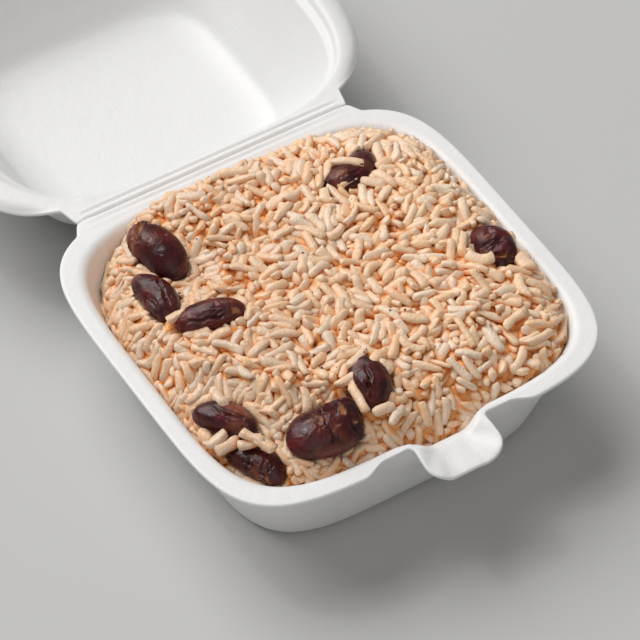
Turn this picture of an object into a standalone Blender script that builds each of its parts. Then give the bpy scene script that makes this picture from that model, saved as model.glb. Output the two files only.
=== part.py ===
"""Rice and red beans in a hinged foam takeaway box, standing open.

The box is one moulding of expanded foam: a square tray, a slightly larger lid
and a creased strip between them that works as the hinge. The tray is filled
with a heap of cooked rice, and nine kidney beans lie half sunk in its top.

Metres, +Z up. The origin is on the underside of the tray, below the middle of
its rim. The hinge and the open lid lie towards +Y, the pull tab towards -Y.
"""

import math

import bmesh
import bpy
from mathutils import Euler, Matrix, Vector, noise

MM = 0.001

# ---------------------------------------------------------------- both halves
FOAM = 2.0 * MM                 # thickness of the moulded foam
GAP = 0.3 * MM                  # clearance between pieces that touch
HINGE_Y = 66.3 * MM             # the fold line between tray and lid
HINGE_Z = 37.3 * MM
HINGE_SLIT = 0.15 * MM          # each half stops this far from the fold
WEB_HALF = 47.9 * MM            # half-length of the creased strip

# ----------------------------------------------------------------------- tray
RIM_Z = 37.0 * MM
RIM_HALF = (67.5 * MM, 65.15 * MM)
RIM_POWER = 5.0                 # superellipse powers: 2 is round, high is square
TRAY_POWER = 4.8
WALL_HALF = (61.4 * MM, 59.1 * MM)      # where the wall's line meets the rim
BASE_HALF = (49.3 * MM, 47.5 * MM)      # where it meets the ground
BASE_SHIFT = -1.1 * MM          # the base lies this far towards the tab
WEB_END_TRAY = 51.5 * MM        # where the strip's root runs out in the rim
RIM_BEND = 2.8 * MM             # radius from the rim into the wall
BASE_BEND = 3.2 * MM            # radius from the wall into the floor
STAND_DROP = 0.2 * MM           # the panel that the tray stands on lies this much lower
STAND_SHARES = (0.93, 0.72)     # its eight corners, as shares of the base
WALL_BREAK = 0.45               # the wall has a row at this share of its height
TRAY_COLUMNS = 108

# ------------------------------------------------------------------- pull tab
TAB_X = 2.5 * MM
TAB_ZONE = 30.0 * MM            # the rim is plain beyond this half-width
TAB_NOTCH = 21.5 * MM           # here the rim has drawn in on either side
TAB_DRAW = 3.15 * MM            # how far it draws in
TAB_HALF = 12.5 * MM
TAB_REACH = 10.85 * MM          # the tongue's end beyond the rim's line
TAB_FILLET = 1.8 * MM
TAB_CORNER = 5.5 * MM
TAB_DIP = 2.7 * MM              # the tongue is hollow like a spout
TAB_LIP_OUT = 3.55 * MM         # the wall leans out under the dip
TAB_ROOT = TAB_HALF + TAB_FILLET
RIM_LEAST = 0.9 * MM            # the flat of the rim is nowhere narrower

# ------------------------------------------------------------------------ lid
LID_HALF = (73.65 * MM, 68.0 * MM)
LID_CENTRE_Y = 135.6 * MM
LID_POWER = 3.4
LID_EDGE_DROP = 2.6 * MM        # the outer lip slopes down by this
LID_FLOOR_Z = 6.2 * MM
LID_FLOOR_HALF = (40.9 * MM, 36.0 * MM)
LID_FLOOR_CENTRE = (1.2 * MM, 124.0 * MM)
LID_FLOOR_POWER = 4.4
LID_COLUMNS = 72
WEB_END_LID = 49.8 * MM
LID_LIP_FULL = 62.0 * MM        # beyond this half-width the lip has its full slope

# ----------------------------------------------------------------------- rice
RICE_COLUMNS = 44
RICE_CROWN = 46.5 * MM          # height of the heap in the middle
RICE_HALF = (60.0 * MM, 57.5 * MM)      # rough half-widths, which set its columns
RICE_LEVEL = 31.0 * MM          # where it meets the wall on average
RICE_SLOPE = 5.2 * MM           # and how much higher on the right, as much lower on the left
RICE_WALL_TOP = 35.2 * MM       # above this the wall bends away into the rim
RICE_LIP = 58.2 * MM            # the heap's back edge where it tops the rim
RICE_LEAN = 0.22                # how fast that edge leans in with height
RICE_BUMP = 0.9 * MM            # height of the small unevenness
RICE_BUMP_SIZE = 9.0 * MM


def smooth(value, low, high):
    """0 below low, 1 above high, with an even S between them."""
    t = min(1.0, max(0.0, (value - low) / (high - low)))
    return t * t * (3.0 - 2.0 * t)


def superellipse(half, power, angle):
    """Point of a rounded square with the given half-widths."""
    c, s = math.cos(angle), math.sin(angle)
    x = half[0] * math.copysign(abs(c) ** (2.0 / power), c)
    y = half[1] * math.copysign(abs(s) ** (2.0 / power), s)
    return x, y


def spaced_angles(half, power, count, density):
    """Angles that space points evenly along an outline, closer where density is high."""
    steps = 4000
    angles = [2.0 * math.pi * (k + 0.5) / steps for k in range(steps + 1)]
    points = [superellipse(half, power, a) for a in angles]
    total = [0.0]
    for p, q in zip(points, points[1:]):
        total.append(total[-1] + math.dist(p, q) * density(*q))
    wanted = [total[-1] * k / count for k in range(count)]
    result = []
    i = 0
    for w in wanted:
        while total[i + 1] < w:
            i += 1
        share = (w - total[i]) / (total[i + 1] - total[i])
        result.append(angles[i] + share * (angles[i + 1] - angles[i]))
    return result


def outline_y(half, power, x):
    """Half-depth of a rounded square at a distance x from its middle."""
    return half[1] * (1.0 - min(1.0, abs(x / half[0])) ** power) ** (1.0 / power)


def arc(cx, cy, radius, start, end, steps):
    """Points of an arc, angles in degrees."""
    turn = [math.radians(start + (end - start) * k / steps) for k in range(steps + 1)]
    return [(cx + radius * math.cos(a), cy + radius * math.sin(a)) for a in turn]


def new_collection(name):
    collection = bpy.data.collections.new(name)
    bpy.context.scene.collection.children.link(collection)
    return collection


def material(name, color, roughness):
    """A Principled material without metal."""
    mat = bpy.data.materials.new(name)
    mat.use_nodes = True
    shader = mat.node_tree.nodes["Principled BSDF"]
    shader.inputs["Base Color"].default_value = (*color, 1.0)
    shader.inputs["Roughness"].default_value = roughness
    shader.inputs["Metallic"].default_value = 0.0
    mat.diffuse_color = (*color, 1.0)
    return mat


def object_from(bm, name, collection, mat):
    """Finish a bmesh as a smooth-shaded object."""
    mesh = bpy.data.meshes.new(name)
    bm.to_mesh(mesh)
    bm.free()
    mesh.shade_smooth()
    mesh.materials.append(mat)
    obj = bpy.data.objects.new(name, mesh)
    collection.objects.link(obj)
    return obj


def loft(rings, close_first=False):
    """Skin rings of equal length, outermost first, and close the last one."""
    bm = bmesh.new()
    rows = [[bm.verts.new(p) for p in ring] for ring in rings]
    count = len(rows[0])
    for upper, lower in zip(rows, rows[1:]):
        for k in range(count):
            n = (k + 1) % count
            bm.faces.new((upper[k], upper[n], lower[n], lower[k]))
    bm.faces.new(rows[-1])
    if close_first:
        bm.faces.new(list(reversed(rows[0])))
    return bm


def foam_shell(bm, name, collection, mat):
    """A foam moulding: its upper surface, thickened downwards."""
    obj = object_from(bm, name, collection, mat)
    solidify = obj.modifiers.new("foam", "SOLIDIFY")
    solidify.thickness = FOAM
    solidify.offset = -1.0
    solidify.use_even_offset = True
    return obj


# ============================================================== tray outline

def tongue_path():
    """Edge of the tongue from its right root to its left one, with its running length.

    Its points are (u, out): u across the tab, out from the plain rim's line.
    """
    right = arc(TAB_ROOT, -TAB_DRAW + TAB_FILLET, TAB_FILLET, 270, 180, 4)
    right += arc(TAB_HALF - TAB_CORNER, TAB_REACH - TAB_CORNER, TAB_CORNER, 0, 90, 6)
    left = [(-u, out) for u, out in reversed(right)]
    points = right + left
    run = [0.0]
    for p, q in zip(points, points[1:]):
        run.append(run[-1] + math.dist(p, q))
    return points, run


def along(points, run, share):
    """Point at a share of a path's length."""
    goal = share * run[-1]
    for k in range(1, len(points)):
        if goal <= run[k]:
            break
    t = (goal - run[k - 1]) / (run[k] - run[k - 1])
    p, q = points[k - 1], points[k]
    return p[0] + (q[0] - p[0]) * t, p[1] + (q[1] - p[1]) * t


def tab_height(u, out):
    """Height of the tab above the rim: high shoulders, a low middle, a drooping end."""
    u = abs(u)
    middle = -TAB_DIP * (1.0 - smooth(u, 4.5 * MM, 11.0 * MM))
    shoulder = 0.35 * MM * math.exp(-((u - TAB_HALF) / (3.0 * MM)) ** 2)
    droop = -1.1 * MM * smooth(out, 0.0, TAB_REACH) * smooth(u, 2.0 * MM, 9.0 * MM)
    return middle + shoulder + droop - 0.3 * MM * smooth(out, 0.0, TAB_REACH)


def tab_lean(u):
    """How far the wall's upper edge moves out below the tab."""
    return TAB_LIP_OUT * (1.0 - smooth(abs(u), 6.0 * MM, 17.0 * MM))


def tray_density(x, y):
    """Columns stand closer at the tab and at the ends of the hinge strip."""
    if y < 0.0 and abs(x - TAB_X) < TAB_ROOT:
        return 5.0
    if y < 0.0 and abs(x - TAB_X) < TAB_ZONE:
        return 1.8
    if y > 0.0 and WEB_HALF - 2.0 * MM < abs(x) < WEB_END_TRAY + 2.0 * MM:
        return 3.0
    return 1.0


def rim_edge(angle, path):
    """Outer edge of the tray's rim with its hinge root and its tab."""
    x, y = superellipse(RIM_HALF, RIM_POWER, angle)
    u = x - TAB_X
    if y < 0.0 and abs(u) < TAB_ZONE:
        out = -TAB_DRAW * smooth(abs(u), TAB_ZONE, TAB_NOTCH)
        if abs(u) < TAB_ROOT:
            u, out = along(*path, (TAB_ROOT - u) / (2.0 * TAB_ROOT))
        line = outline_y(RIM_HALF, RIM_POWER, u + TAB_X)
        return Vector((u + TAB_X, -line - out, RIM_Z + tab_height(u, max(out, 0.0))))
    if y > 0.0 and abs(x) < WEB_END_TRAY:
        root = 1.0 - smooth(abs(x), WEB_HALF, WEB_END_TRAY)
        y += (HINGE_Y - HINGE_SLIT - y) * root
    return Vector((x, y, RIM_Z))


def wall_point(angle, z, extra=0.0):
    """Point of the tray's inner wall line at height z, moved out by extra."""
    rise = z / RIM_Z
    half = [b + (w - b) * rise + extra for b, w in zip(BASE_HALF, WALL_HALF)]
    x, y = superellipse(half, TRAY_POWER, angle)
    return Vector((x, y + BASE_SHIFT * (1.0 - rise), z))


def tray_rings():
    """Upper surface of the tray: rim, bend, wall, base curve and floor."""
    angles = spaced_angles(RIM_HALF, RIM_POWER, TRAY_COLUMNS, tray_density)
    path = tongue_path()
    lean = math.atan2(WALL_HALF[0] - BASE_HALF[0], RIM_Z)
    turn = 0.5 * math.pi - lean
    reach = RIM_BEND * math.tan(turn / 2.0)
    foot = BASE_BEND * math.tan(turn / 2.0)

    edge = [rim_edge(a, path) for a in angles]

    def bend_ring(extra, drop, flat):
        ring = []
        for a, e in zip(angles, edge):
            p = wall_point(a, RIM_Z, extra)
            p.z -= drop
            if p.y < 0.0:
                fade = 1.0 - drop / (12.0 * MM)
                u = p.x - TAB_X
                p.y = max(p.y - tab_lean(u) * fade, e.y + flat)
                p.z += tab_height(u, 0.0) * fade
            ring.append(p)
        return ring

    start = bend_ring(reach, 0.0, RIM_LEAST)
    middle_out = reach - RIM_BEND * math.sin(turn / 2.0)
    middle = bend_ring(middle_out, RIM_BEND * (1.0 - math.cos(turn / 2.0)), 1.8 * RIM_LEAST)
    end = bend_ring(-reach * math.sin(lean), reach * math.cos(lean), 2.4 * RIM_LEAST)
    flange = [p.lerp(q, 0.5) for p, q in zip(edge, start)]

    floor = FOAM + STAND_DROP
    wall_middle = [wall_point(a, WALL_BREAK * RIM_Z) for a in angles]
    curve_top = [wall_point(a, floor + foot * math.cos(lean)) for a in angles]
    curve_end = [wall_point(a, floor, -foot) for a in angles]
    curve_mid = []
    for p, q, c in zip(curve_top, curve_end, [wall_point(a, floor) for a in angles]):
        curve_mid.append((p + q) * 0.3 + c * 0.4)
    return [edge, flange, start, middle, end, wall_middle, curve_top, curve_mid, curve_end]


def tray_surface():
    """The tray's upper surface, with its floor sunk a little to the panel that it stands on."""
    bm = loft(tray_rings())
    bm.faces.ensure_lookup_table()
    floor = bm.faces[-1]
    border = list(floor.edges)
    reach = [max(abs(v.co[k] - shift) for v in floor.verts) for k, shift in ((0, 0.0), (1, BASE_SHIFT))]
    bm.faces.remove(floor)
    long, short = STAND_SHARES
    corners = [(long, short), (short, long), (-short, long), (-long, short)]
    corners += [(-x, -y) for x, y in corners]
    ring = [bm.verts.new((x * reach[0], y * reach[1] + BASE_SHIFT, FOAM)) for x, y in corners]
    panel = bm.faces.new(ring)
    bmesh.ops.bridge_loops(bm, edges=border + list(panel.edges))
    if panel.normal.z < 0.0:
        panel.normal_flip()
    return bm


# =================================================================== the lid

def lid_density(x, y):
    """Columns stand closer at the ends of the hinge strip."""
    if y < 0.0 and WEB_HALF - 2.0 * MM < abs(x) < WEB_END_LID + 2.0 * MM:
        return 2.6
    return 1.0


def lid_ring(angles, half_x, near, far, z, power, centre_x=1.5 * MM):
    """A ring of the lid by its half-width and its near and far ends."""
    half = (half_x, 0.5 * (far - near))
    centre_y = 0.5 * (far + near)
    ring = []
    for a in angles:
        x, y = superellipse(half, power, a)
        ring.append(Vector((x + centre_x, y + centre_y, z)))
    return ring


def lid_edge(angles):
    """The lid's outer edge, drawn out to the fold along the hinge strip."""
    ring = []
    for a in angles:
        x, y = superellipse(LID_HALF, LID_POWER, a)
        p = Vector((x, y + LID_CENTRE_Y, RIM_Z - LID_EDGE_DROP))
        if y < 0.0:
            root = 1.0 - smooth(abs(x), WEB_HALF, WEB_END_LID)
            p.y += (HINGE_Y + HINGE_SLIT - p.y) * root
            p.z += LID_EDGE_DROP * (1.0 - smooth(abs(x), WEB_END_LID, LID_LIP_FULL))
        ring.append(p)
    return ring


def lip_row(edge, lip, share, sag):
    """A row of the lip between its edge and its inner side; sag is its share of the slope."""
    row = []
    for p, q in zip(edge, lip):
        point = p.lerp(q, share)
        point.z = RIM_Z - sag * (RIM_Z - p.z)
        row.append(point)
    return row


def lid_rings():
    """Upper surface of the open lid: lip, ledge, shoulder, wall and panel."""
    angles = spaced_angles(LID_HALF, LID_POWER, LID_COLUMNS, lid_density)
    def ring(half_x, near, far, drop, power, centre_x=1.5 * MM):
        return lid_ring(angles, half_x * MM, near * MM, far * MM,
                        RIM_Z - drop * MM, power, centre_x)

    lip = ring(63.3, 71.2, 194.6, 0.35, 3.6)
    edge = lid_edge(angles)
    crest = lip_row(edge, lip, 0.25, 0.32)
    crown = lip_row(edge, lip, 0.62, 0.0)
    ledge = ring(61.9, 72.0, 192.9, 2.1, 3.7)
    shoulder = ring(59.4, 73.0, 189.6, 2.7, 3.8)
    wall_top = ring(58.0, 74.1, 187.4, 4.6, 3.9)
    floor_x, floor_y = LID_FLOOR_CENTRE
    near = floor_y - LID_FLOOR_HALF[1]
    far = floor_y + LID_FLOOR_HALF[1]
    wall_foot = lid_ring(angles, LID_FLOOR_HALF[0] + 4.6 * MM, near - 4.2 * MM,
                         far + 7.5 * MM, LID_FLOOR_Z + 6.3 * MM, LID_FLOOR_POWER, floor_x)
    curve = lid_ring(angles, LID_FLOOR_HALF[0] + 1.2 * MM, near - 1.0 * MM,
                     far + 2.0 * MM, LID_FLOOR_Z + 1.5 * MM, LID_FLOOR_POWER, floor_x)
    panel = lid_ring(angles, LID_FLOOR_HALF[0] - 3.0 * MM, near + 3.0 * MM,
                     far - 4.0 * MM, LID_FLOOR_Z, LID_FLOOR_POWER, floor_x)
    return [edge, crest, crown, lip, ledge, shoulder, wall_top, wall_foot, curve, panel]


# ================================================================== the rice

def rice_contact(x, y):
    """Height at which the heap meets the wall, for x and y as shares of the half-widths."""
    fade = 1.0 - smooth(x, 0.46, 0.58) - smooth(-x, 0.48, 0.72)
    back = (12.5 * MM - 5.3 * MM * smooth(x, 0.04, 0.2)) * max(y, 0.0) ** 2 * fade
    hollow = 7.0 * MM * math.exp(-((x + 0.86) / 0.16) ** 2 - ((y - 0.76) / 0.2) ** 2)
    return RICE_LEVEL + RICE_SLOPE * x + back - hollow


def rice_uneven(x, y):
    """Small bumps and dents of the heap's top."""
    spot = Vector((x, y, 0.0)) / RICE_BUMP_SIZE
    return RICE_BUMP * noise.noise(spot + Vector((3.1, 7.7, 0.4)))


def rice_rings():
    """The heap: its top from the wall inwards, then its sides and its underside."""
    angles = spaced_angles(RICE_HALF, TRAY_POWER, RICE_COLUMNS, lambda x, y: 1.0)
    depth = RICE_HALF[1]
    clear = -GAP * 1.1
    contact = []
    for a in angles:
        x, y = superellipse((1.0, 1.0), TRAY_POWER, a)
        z = rice_contact(x, y)
        p = wall_point(a, min(z, RICE_WALL_TOP), clear)
        p.z = z
        if z > RICE_WALL_TOP and p.y > 0.0:
            p.y = min(p.y, RICE_LIP - RICE_LEAN * (z - RICE_WALL_TOP))
        contact.append(p)

    rings = []
    for share in (0.16, 0.34, 0.52, 0.68, 0.8, 0.88, 0.94, 0.98):
        ring = []
        for c in contact:
            sharp = 6.5 + 3.5 * smooth(c.y, 0.0, depth)
            x, y = c.x * share, c.y * share
            crown = RICE_CROWN + 1.5 * MM * y / depth - 1.6 * MM * smooth(-y, 0.3 * depth, depth)
            z = c.z + (crown - c.z) * (1.0 - share ** sharp)
            ring.append(Vector((x, y, z + rice_uneven(x, y) * (1.0 - share ** 20))))
        rings.append(ring)
    rings.append(contact)

    foot = BASE_BEND * 0.7
    floor = FOAM + STAND_DROP + GAP
    for share in (0.55, 0.0):
        ring = []
        for a, c in zip(angles, contact):
            z = floor + foot + (min(c.z, RICE_WALL_TOP) - floor - foot) * share
            ring.append(wall_point(a, z, clear))
        rings.append(ring)
    rings.append([wall_point(a, floor + foot * 0.3, clear - foot * 0.42) for a in angles])
    rings.append([wall_point(a, floor, clear - foot * 1.1) for a in angles])
    return rings


# ================================================================= the beans
# name, middle, length, width, height, heading, pitch, roll (degrees), bend, split
BEANS = (
    ("bean_1", (-37.0, 38.0, 43.0), 22.5, 12.0, 10.0, -80, 12, 10, 0.16, 0.0),
    ("bean_2", (-45.5, 23.0, 42.0), 20.0, 10.8, 9.5, -89, -2, -20, 0.20, 0.0),
    ("bean_3", (-37.0, 6.0, 45.2), 22.0, 10.2, 9.2, -20, -9, 15, 0.18, 0.0),
    ("bean_4", (29.5, 33.5, 45.8), 21.5, 11.2, 9.6, 16, 3, -15, -0.18, 0.0),
    ("bean_5", (50.8, -12.8, 41.8), 18.5, 12.2, 9.0, -96, 0, 12, 0.10, 0.5),
    ("bean_6", (-10.5, -40.6, 43.0), 19.5, 12.6, 10.0, -108, 22, 5, 0.12, 0.0),
    ("bean_7", (-30.0, -46.2, 39.8), 24.0, 16.0, 11.5, -12, 0, 0, 0.08, 1.0),
    ("bean_8", (-50.6, -26.0, 38.2), 21.0, 11.0, 9.6, -60, -5, -10, 0.18, 0.0),
    ("bean_9", (-49.2, -41.0, 33.4), 20.0, 10.4, 9.2, -66, 0, 0, 0.14, 0.0),
)


def bean_form(length, width, height, bend, split, grow=0.0):
    """A kidney: a round body bent sideways, narrower at the ends, perhaps cleft on top."""
    bm = bmesh.new()
    bmesh.ops.create_uvsphere(bm, u_segments=12, v_segments=8, radius=1.0)
    half = [0.5 * size * MM + grow for size in (length, width, height)]
    for v in bm.verts:
        along_x, across, up = v.co.z, v.co.x, v.co.y
        blunt = 1.0 + 0.10 * (1.0 - along_x ** 2)
        cleft = 1.0
        if up > 0.0:
            cleft -= 0.22 * split * math.exp(-(across / 0.28) ** 2)
        x = half[0] * along_x
        y = half[1] * (across * blunt * 0.95 - bend * 2.0 * (along_x ** 2 - 0.4))
        z = half[2] * up * blunt * 0.95 * cleft
        v.co = Vector((x, y, z))
    return bm


def place_bean(obj, middle, heading, pitch, roll):
    turn = Euler([math.radians(v) for v in (roll, pitch, heading)], "XYZ")
    obj.matrix_world = Matrix.Translation(Vector(middle) * MM) @ turn.to_matrix().to_4x4()


def main():
    for obj in list(bpy.data.objects):
        bpy.data.objects.remove(obj, do_unlink=True)
    dish = new_collection("rice_and_beans_box")
    cutters = new_collection("cutters")

    foam = material("white_foam", (0.86, 0.86, 0.85), 0.45)
    foam_shell(tray_surface(), "tray", dish, foam)
    foam_shell(loft(lid_rings()), "lid", dish, foam)

    grain = material("cooked_rice", (0.80, 0.60, 0.42), 0.5)
    heap = loft(rice_rings(), close_first=True)
    bmesh.ops.recalc_face_normals(heap, faces=heap.faces)
    rice = object_from(heap, "rice", dish, grain)

    skin = material("red_bean_skin", (0.10, 0.022, 0.018), 0.25)
    for name, middle, length, width, height, heading, pitch, roll, bend, split in BEANS:
        bean = object_from(bean_form(length, width, height, bend, split), name, dish, skin)
        place_bean(bean, middle, heading, pitch, roll)
        bed = bean_form(length, width, height, bend, split, grow=1.5 * GAP)
        cutter = object_from(bed, "bed_of_" + name, cutters, grain)
        place_bean(cutter, middle, heading, pitch, roll)
        cutter.hide_render = True
        cutter.display_type = "WIRE"
        cut = rice.modifiers.new("bed_of_" + name, "BOOLEAN")
        cut.operation = "DIFFERENCE"
        cut.solver = "EXACT"
        cut.object = cutter


main()
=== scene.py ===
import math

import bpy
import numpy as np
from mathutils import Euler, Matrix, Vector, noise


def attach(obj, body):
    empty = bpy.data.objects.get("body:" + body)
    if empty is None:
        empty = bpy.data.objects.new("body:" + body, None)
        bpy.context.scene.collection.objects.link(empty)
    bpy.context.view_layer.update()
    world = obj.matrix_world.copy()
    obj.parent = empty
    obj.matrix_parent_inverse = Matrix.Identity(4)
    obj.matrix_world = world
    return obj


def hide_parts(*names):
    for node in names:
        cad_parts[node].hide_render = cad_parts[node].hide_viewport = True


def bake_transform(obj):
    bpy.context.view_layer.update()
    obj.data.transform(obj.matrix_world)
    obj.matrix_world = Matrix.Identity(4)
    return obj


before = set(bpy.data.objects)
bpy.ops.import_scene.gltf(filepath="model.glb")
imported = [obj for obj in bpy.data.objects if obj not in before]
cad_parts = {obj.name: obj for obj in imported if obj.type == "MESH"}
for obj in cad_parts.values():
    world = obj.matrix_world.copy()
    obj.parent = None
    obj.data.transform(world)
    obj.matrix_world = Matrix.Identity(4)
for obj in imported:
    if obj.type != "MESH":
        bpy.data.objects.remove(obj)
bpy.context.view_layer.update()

# Rice and red beans in a white foam takeaway box with its lid laid open.
# Metres, +Z up. The tray stands on the ground below the origin; the hinge and the lid lie
# towards +Y. Tray and lid repeat the named sizes that their solids are built on. So does the
# heap, but its shoulders are fuller here, and some beans lie a millimetre or two from theirs.

MM = 0.001

# ------------------------------------------------------------- sizes of the foam
# Names with POWER say how square an outline is, 2 being round; those with HALF are half-widths.
FOAM = 2.0 * MM                 # thickness of walls and floors
RIM_FOAM = 1.3 * MM             # the foam is pressed thinner along the rims
HINGE_Y = 66.3 * MM
HINGE_SLIT = 0.15 * MM          # tray and lid each end this far from the fold
WEB_HALF = 47.9 * MM            # half-length of the strip that joins them
RIM_Z = 37.0 * MM
RIM_HALF = (67.5 * MM, 65.15 * MM)
RIM_POWER = 5.0
TRAY_POWER = 4.8
WALL_HALF = (61.4 * MM, 59.1 * MM)
BASE_HALF = (49.3 * MM, 47.5 * MM)
BASE_SHIFT = -1.1 * MM          # the tray's floor lies this far towards the tab
WEB_END_TRAY = 51.5 * MM        # where the rim has come back to its own line
RIM_BEND = 2.8 * MM             # radii between rim and wall, and wall and floor
BASE_BEND = 3.2 * MM
STAND_DROP = 0.2 * MM           # the middle of the floor stands lower than its edge
RIM_LEAST = 0.9 * MM            # width that the rim keeps beside the tab
WALL_BREAK = 0.45               # the front wall starts to lean at this share of its height

TAB_X = 2.5 * MM
TAB_ZONE = 30.0 * MM            # the rim starts to draw in this far beside the tab's middle
TAB_NOTCH = 21.5 * MM           # and here it is drawn in by TAB_DRAW
TAB_DRAW = 3.15 * MM
TAB_HALF = 12.5 * MM
TAB_REACH = 10.85 * MM
TAB_FILLET = 1.8 * MM
TAB_CORNER = 5.5 * MM
TAB_DIP = 2.7 * MM              # depth of the hollow along its middle
TAB_LIP_OUT = 3.55 * MM         # and the wall's top leans out this far under it
TAB_ROOT = TAB_HALF + TAB_FILLET

LID_HALF = (73.65 * MM, 68.0 * MM)
LID_CENTRE_Y = 135.6 * MM
LID_POWER = 3.4
LID_EDGE_DROP = 2.6 * MM
LID_FLOOR_Z = 6.2 * MM
LID_FLOOR_HALF = (40.9 * MM, 36.0 * MM)
LID_FLOOR_CENTRE = (1.2 * MM, 124.0 * MM)
LID_FLOOR_POWER = 4.4
WEB_END_LID = 49.8 * MM
LID_LIP_FULL = 62.0 * MM        # from here the lid's edge droops fully below its lip

RIPPLE = 0.24 * MM              # height of the creases pressed along the fold
RIPPLE_PITCH = 2.4 * MM
COLUMNS = 360                   # points round the tray and round the lid
UNDERSIDE = 0.02 * MM           # nothing of the foam comes lower than this

# ------------------------------------------------------------- sizes of the rice
RICE_CROWN = 46.5 * MM          # height of the heap's middle
RICE_LEVEL = 31.0 * MM          # height at which it meets the side walls
RICE_SLOPE = 5.2 * MM           # higher by this at the right one, and lower at the left one
RICE_SHOULDER = (9.0, 10.0)     # how full the shoulders are at the front and at the back
RICE_WALL_TOP = 35.2 * MM       # the wall holds the rice up to here
RICE_LIP = 58.2 * MM            # above that it comes back as far as this
RICE_LEAN = 0.22                # and leans in
RICE_BUMP = 0.9 * MM            # height and width of its soft unevenness
RICE_BUMP_SIZE = 9.0 * MM
RICE_HALF = (60.1 * MM, 57.8 * MM)
GRAIN_LAYER = 6.5 * MM          # depth of the loose grains
CORNER_HOLLOW = 5.0 * MM        # the rice lies low in its back left corner
CORNER_PLACE = (-54.0 * MM, 41.0 * MM)
CORNER_SPREAD = (11.0 * MM, 15.0 * MM)
BESIDE_BEANS = 6.0 * MM         # and makes room this far round its beans
CORE_DEPTH = 4.2 * MM           # the core hides what lies deeper than this
CORE_TOP = 30.0 * MM            # the core's wall is no wider than the tray's at this height
GAP_SHADE_DEPTH = 3.0 * MM            # the painted shade of the rice's gaps is full this far below its neighbours

# The shut lid's wall stands over the back of the heap, leaning in as it rises
SHUT_LID_Y = 59.1 * MM
SHUT_LID_Z = 37.6 * MM
SHUT_LID_LEAN = 0.6

# ------------------------------------------------------------- sizes of the grains
GRAIN_COUNT = 2950
GRAIN_SEED = 11
SETTLE_STEPS = 260
GRAIN_LENGTH = (7.7, 1.0, 5.6, 9.8)     # mean, spread, least and most, in mm
GRAIN_THICK = (1.95, 0.17, 1.6, 2.4)
BROKEN_SHARE = 0.11
KIND_SHARES = (0.42, 0.42, 0.16)        # whole, blunt and split grains
SPHERES = 5                             # a grain is packed as a short chain of spheres
RISE_OVER_TOP = 1.1 * MM                # the last grains may lie this far above the outline
NEIGHBOUR_REACH = 3.4 * MM
SETTLE_FALL = 0.025 * MM                # per step
LAID_THICK = 0.82                       # grains listed over the beans are packed this much thinner

# ============================================================ small helpers


def smooth(value, low, high):
    """0 below low, 1 above high, with an even S between them; for numbers and arrays."""
    t = np.clip((value - low) / (high - low), 0.0, 1.0)
    return t * t * (3.0 - 2.0 * t)


def soft_max(a, b, width):
    """The larger of two values with a rounded change-over."""
    return 0.5 * (a + b + np.sqrt((a - b) ** 2 + width ** 2))


def rounded_square(half, power, angles):
    """Points of a rounded square at the given angles, as two arrays."""
    c, s = np.cos(angles), np.sin(angles)
    x = half[0] * np.sign(c) * np.abs(c) ** (2.0 / power)
    y = half[1] * np.sign(s) * np.abs(s) ** (2.0 / power)
    return x, y


def spaced_angles(half, power, count, density):
    """Angles that space points evenly along an outline, closer where density is high."""
    steps = 8000
    angles = 2.0 * math.pi * (np.arange(steps + 1) + 0.5) / steps
    x, y = rounded_square(half, power, angles)
    run = np.hypot(np.diff(x), np.diff(y)) * density(x[1:], y[1:])
    total = np.concatenate(([0.0], np.cumsum(run)))
    return np.interp(total[-1] * np.arange(count) / count, total, angles)


def outline_depth(half, power, x):
    """Half-depth of a rounded square at a distance x from its middle."""
    return half[1] * (1.0 - np.minimum(1.0, np.abs(x / half[0])) ** power) ** (1.0 / power)


def stack(x, y, z):
    """Three arrays or numbers as rows of points."""
    return np.stack(np.broadcast_arrays(x, y, z), axis=-1).astype(float)


def select_none():
    if bpy.context.object and bpy.context.object.mode != "OBJECT":
        bpy.ops.object.mode_set(mode="OBJECT")
    bpy.ops.object.select_all(action="DESELECT")


def name_piece(name):
    """Name the object just added, which is the active one."""
    obj = bpy.context.object
    obj.name = name
    obj.data.name = name
    return obj


def points_of(obj):
    flat = np.zeros(len(obj.data.vertices) * 3)
    obj.data.vertices.foreach_get("co", flat)
    return flat.reshape(-1, 3)


def set_points(obj, points):
    obj.data.vertices.foreach_set("co", np.ascontiguousarray(points, float).ravel())
    obj.data.update()


def set_attribute(obj, name, values):
    layer = obj.data.attributes.new(name, "FLOAT", "POINT")
    layer.data.foreach_set("value", np.ascontiguousarray(values, np.float32).ravel())


def drawn_shell(name, rows):
    """A closed moulding: a circle drawn out row by row, with both its ends filled.

    rows is an array of rings, all with the same number of points.
    """
    select_none()
    count = rows.shape[1]
    bpy.ops.mesh.primitive_circle_add(vertices=count, radius=50.0 * MM)
    obj = name_piece(name)
    bpy.ops.object.mode_set(mode="EDIT")
    bpy.ops.mesh.select_all(action="SELECT")
    for _ in range(len(rows) - 1):
        bpy.ops.mesh.extrude_edges_move()
    bpy.ops.mesh.edge_face_add()
    bpy.ops.mesh.select_all(action="DESELECT")
    bpy.ops.object.mode_set(mode="OBJECT")
    for v in obj.data.vertices[:count]:
        v.select = True
    set_points(obj, rows.reshape(-1, 3))
    bpy.ops.object.mode_set(mode="EDIT")
    bpy.ops.mesh.edge_face_add()
    bpy.ops.mesh.select_all(action="SELECT")
    bpy.ops.mesh.normals_make_consistent(inside=False)
    bpy.ops.object.mode_set(mode="OBJECT")
    bpy.ops.object.shade_smooth()
    return obj


# ============================================================ materials

def add_node(tree, kind, inputs=None, **settings):
    """A node with its settings; inputs are numbers, colours or sockets to link."""
    made = tree.nodes.new(kind)
    for key, value in settings.items():
        setattr(made, key, value)
    for key, value in (inputs or {}).items():
        if isinstance(value, bpy.types.NodeSocket):
            tree.links.new(value, made.inputs[key])
        else:
            made.inputs[key].default_value = value
    return made


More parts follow.
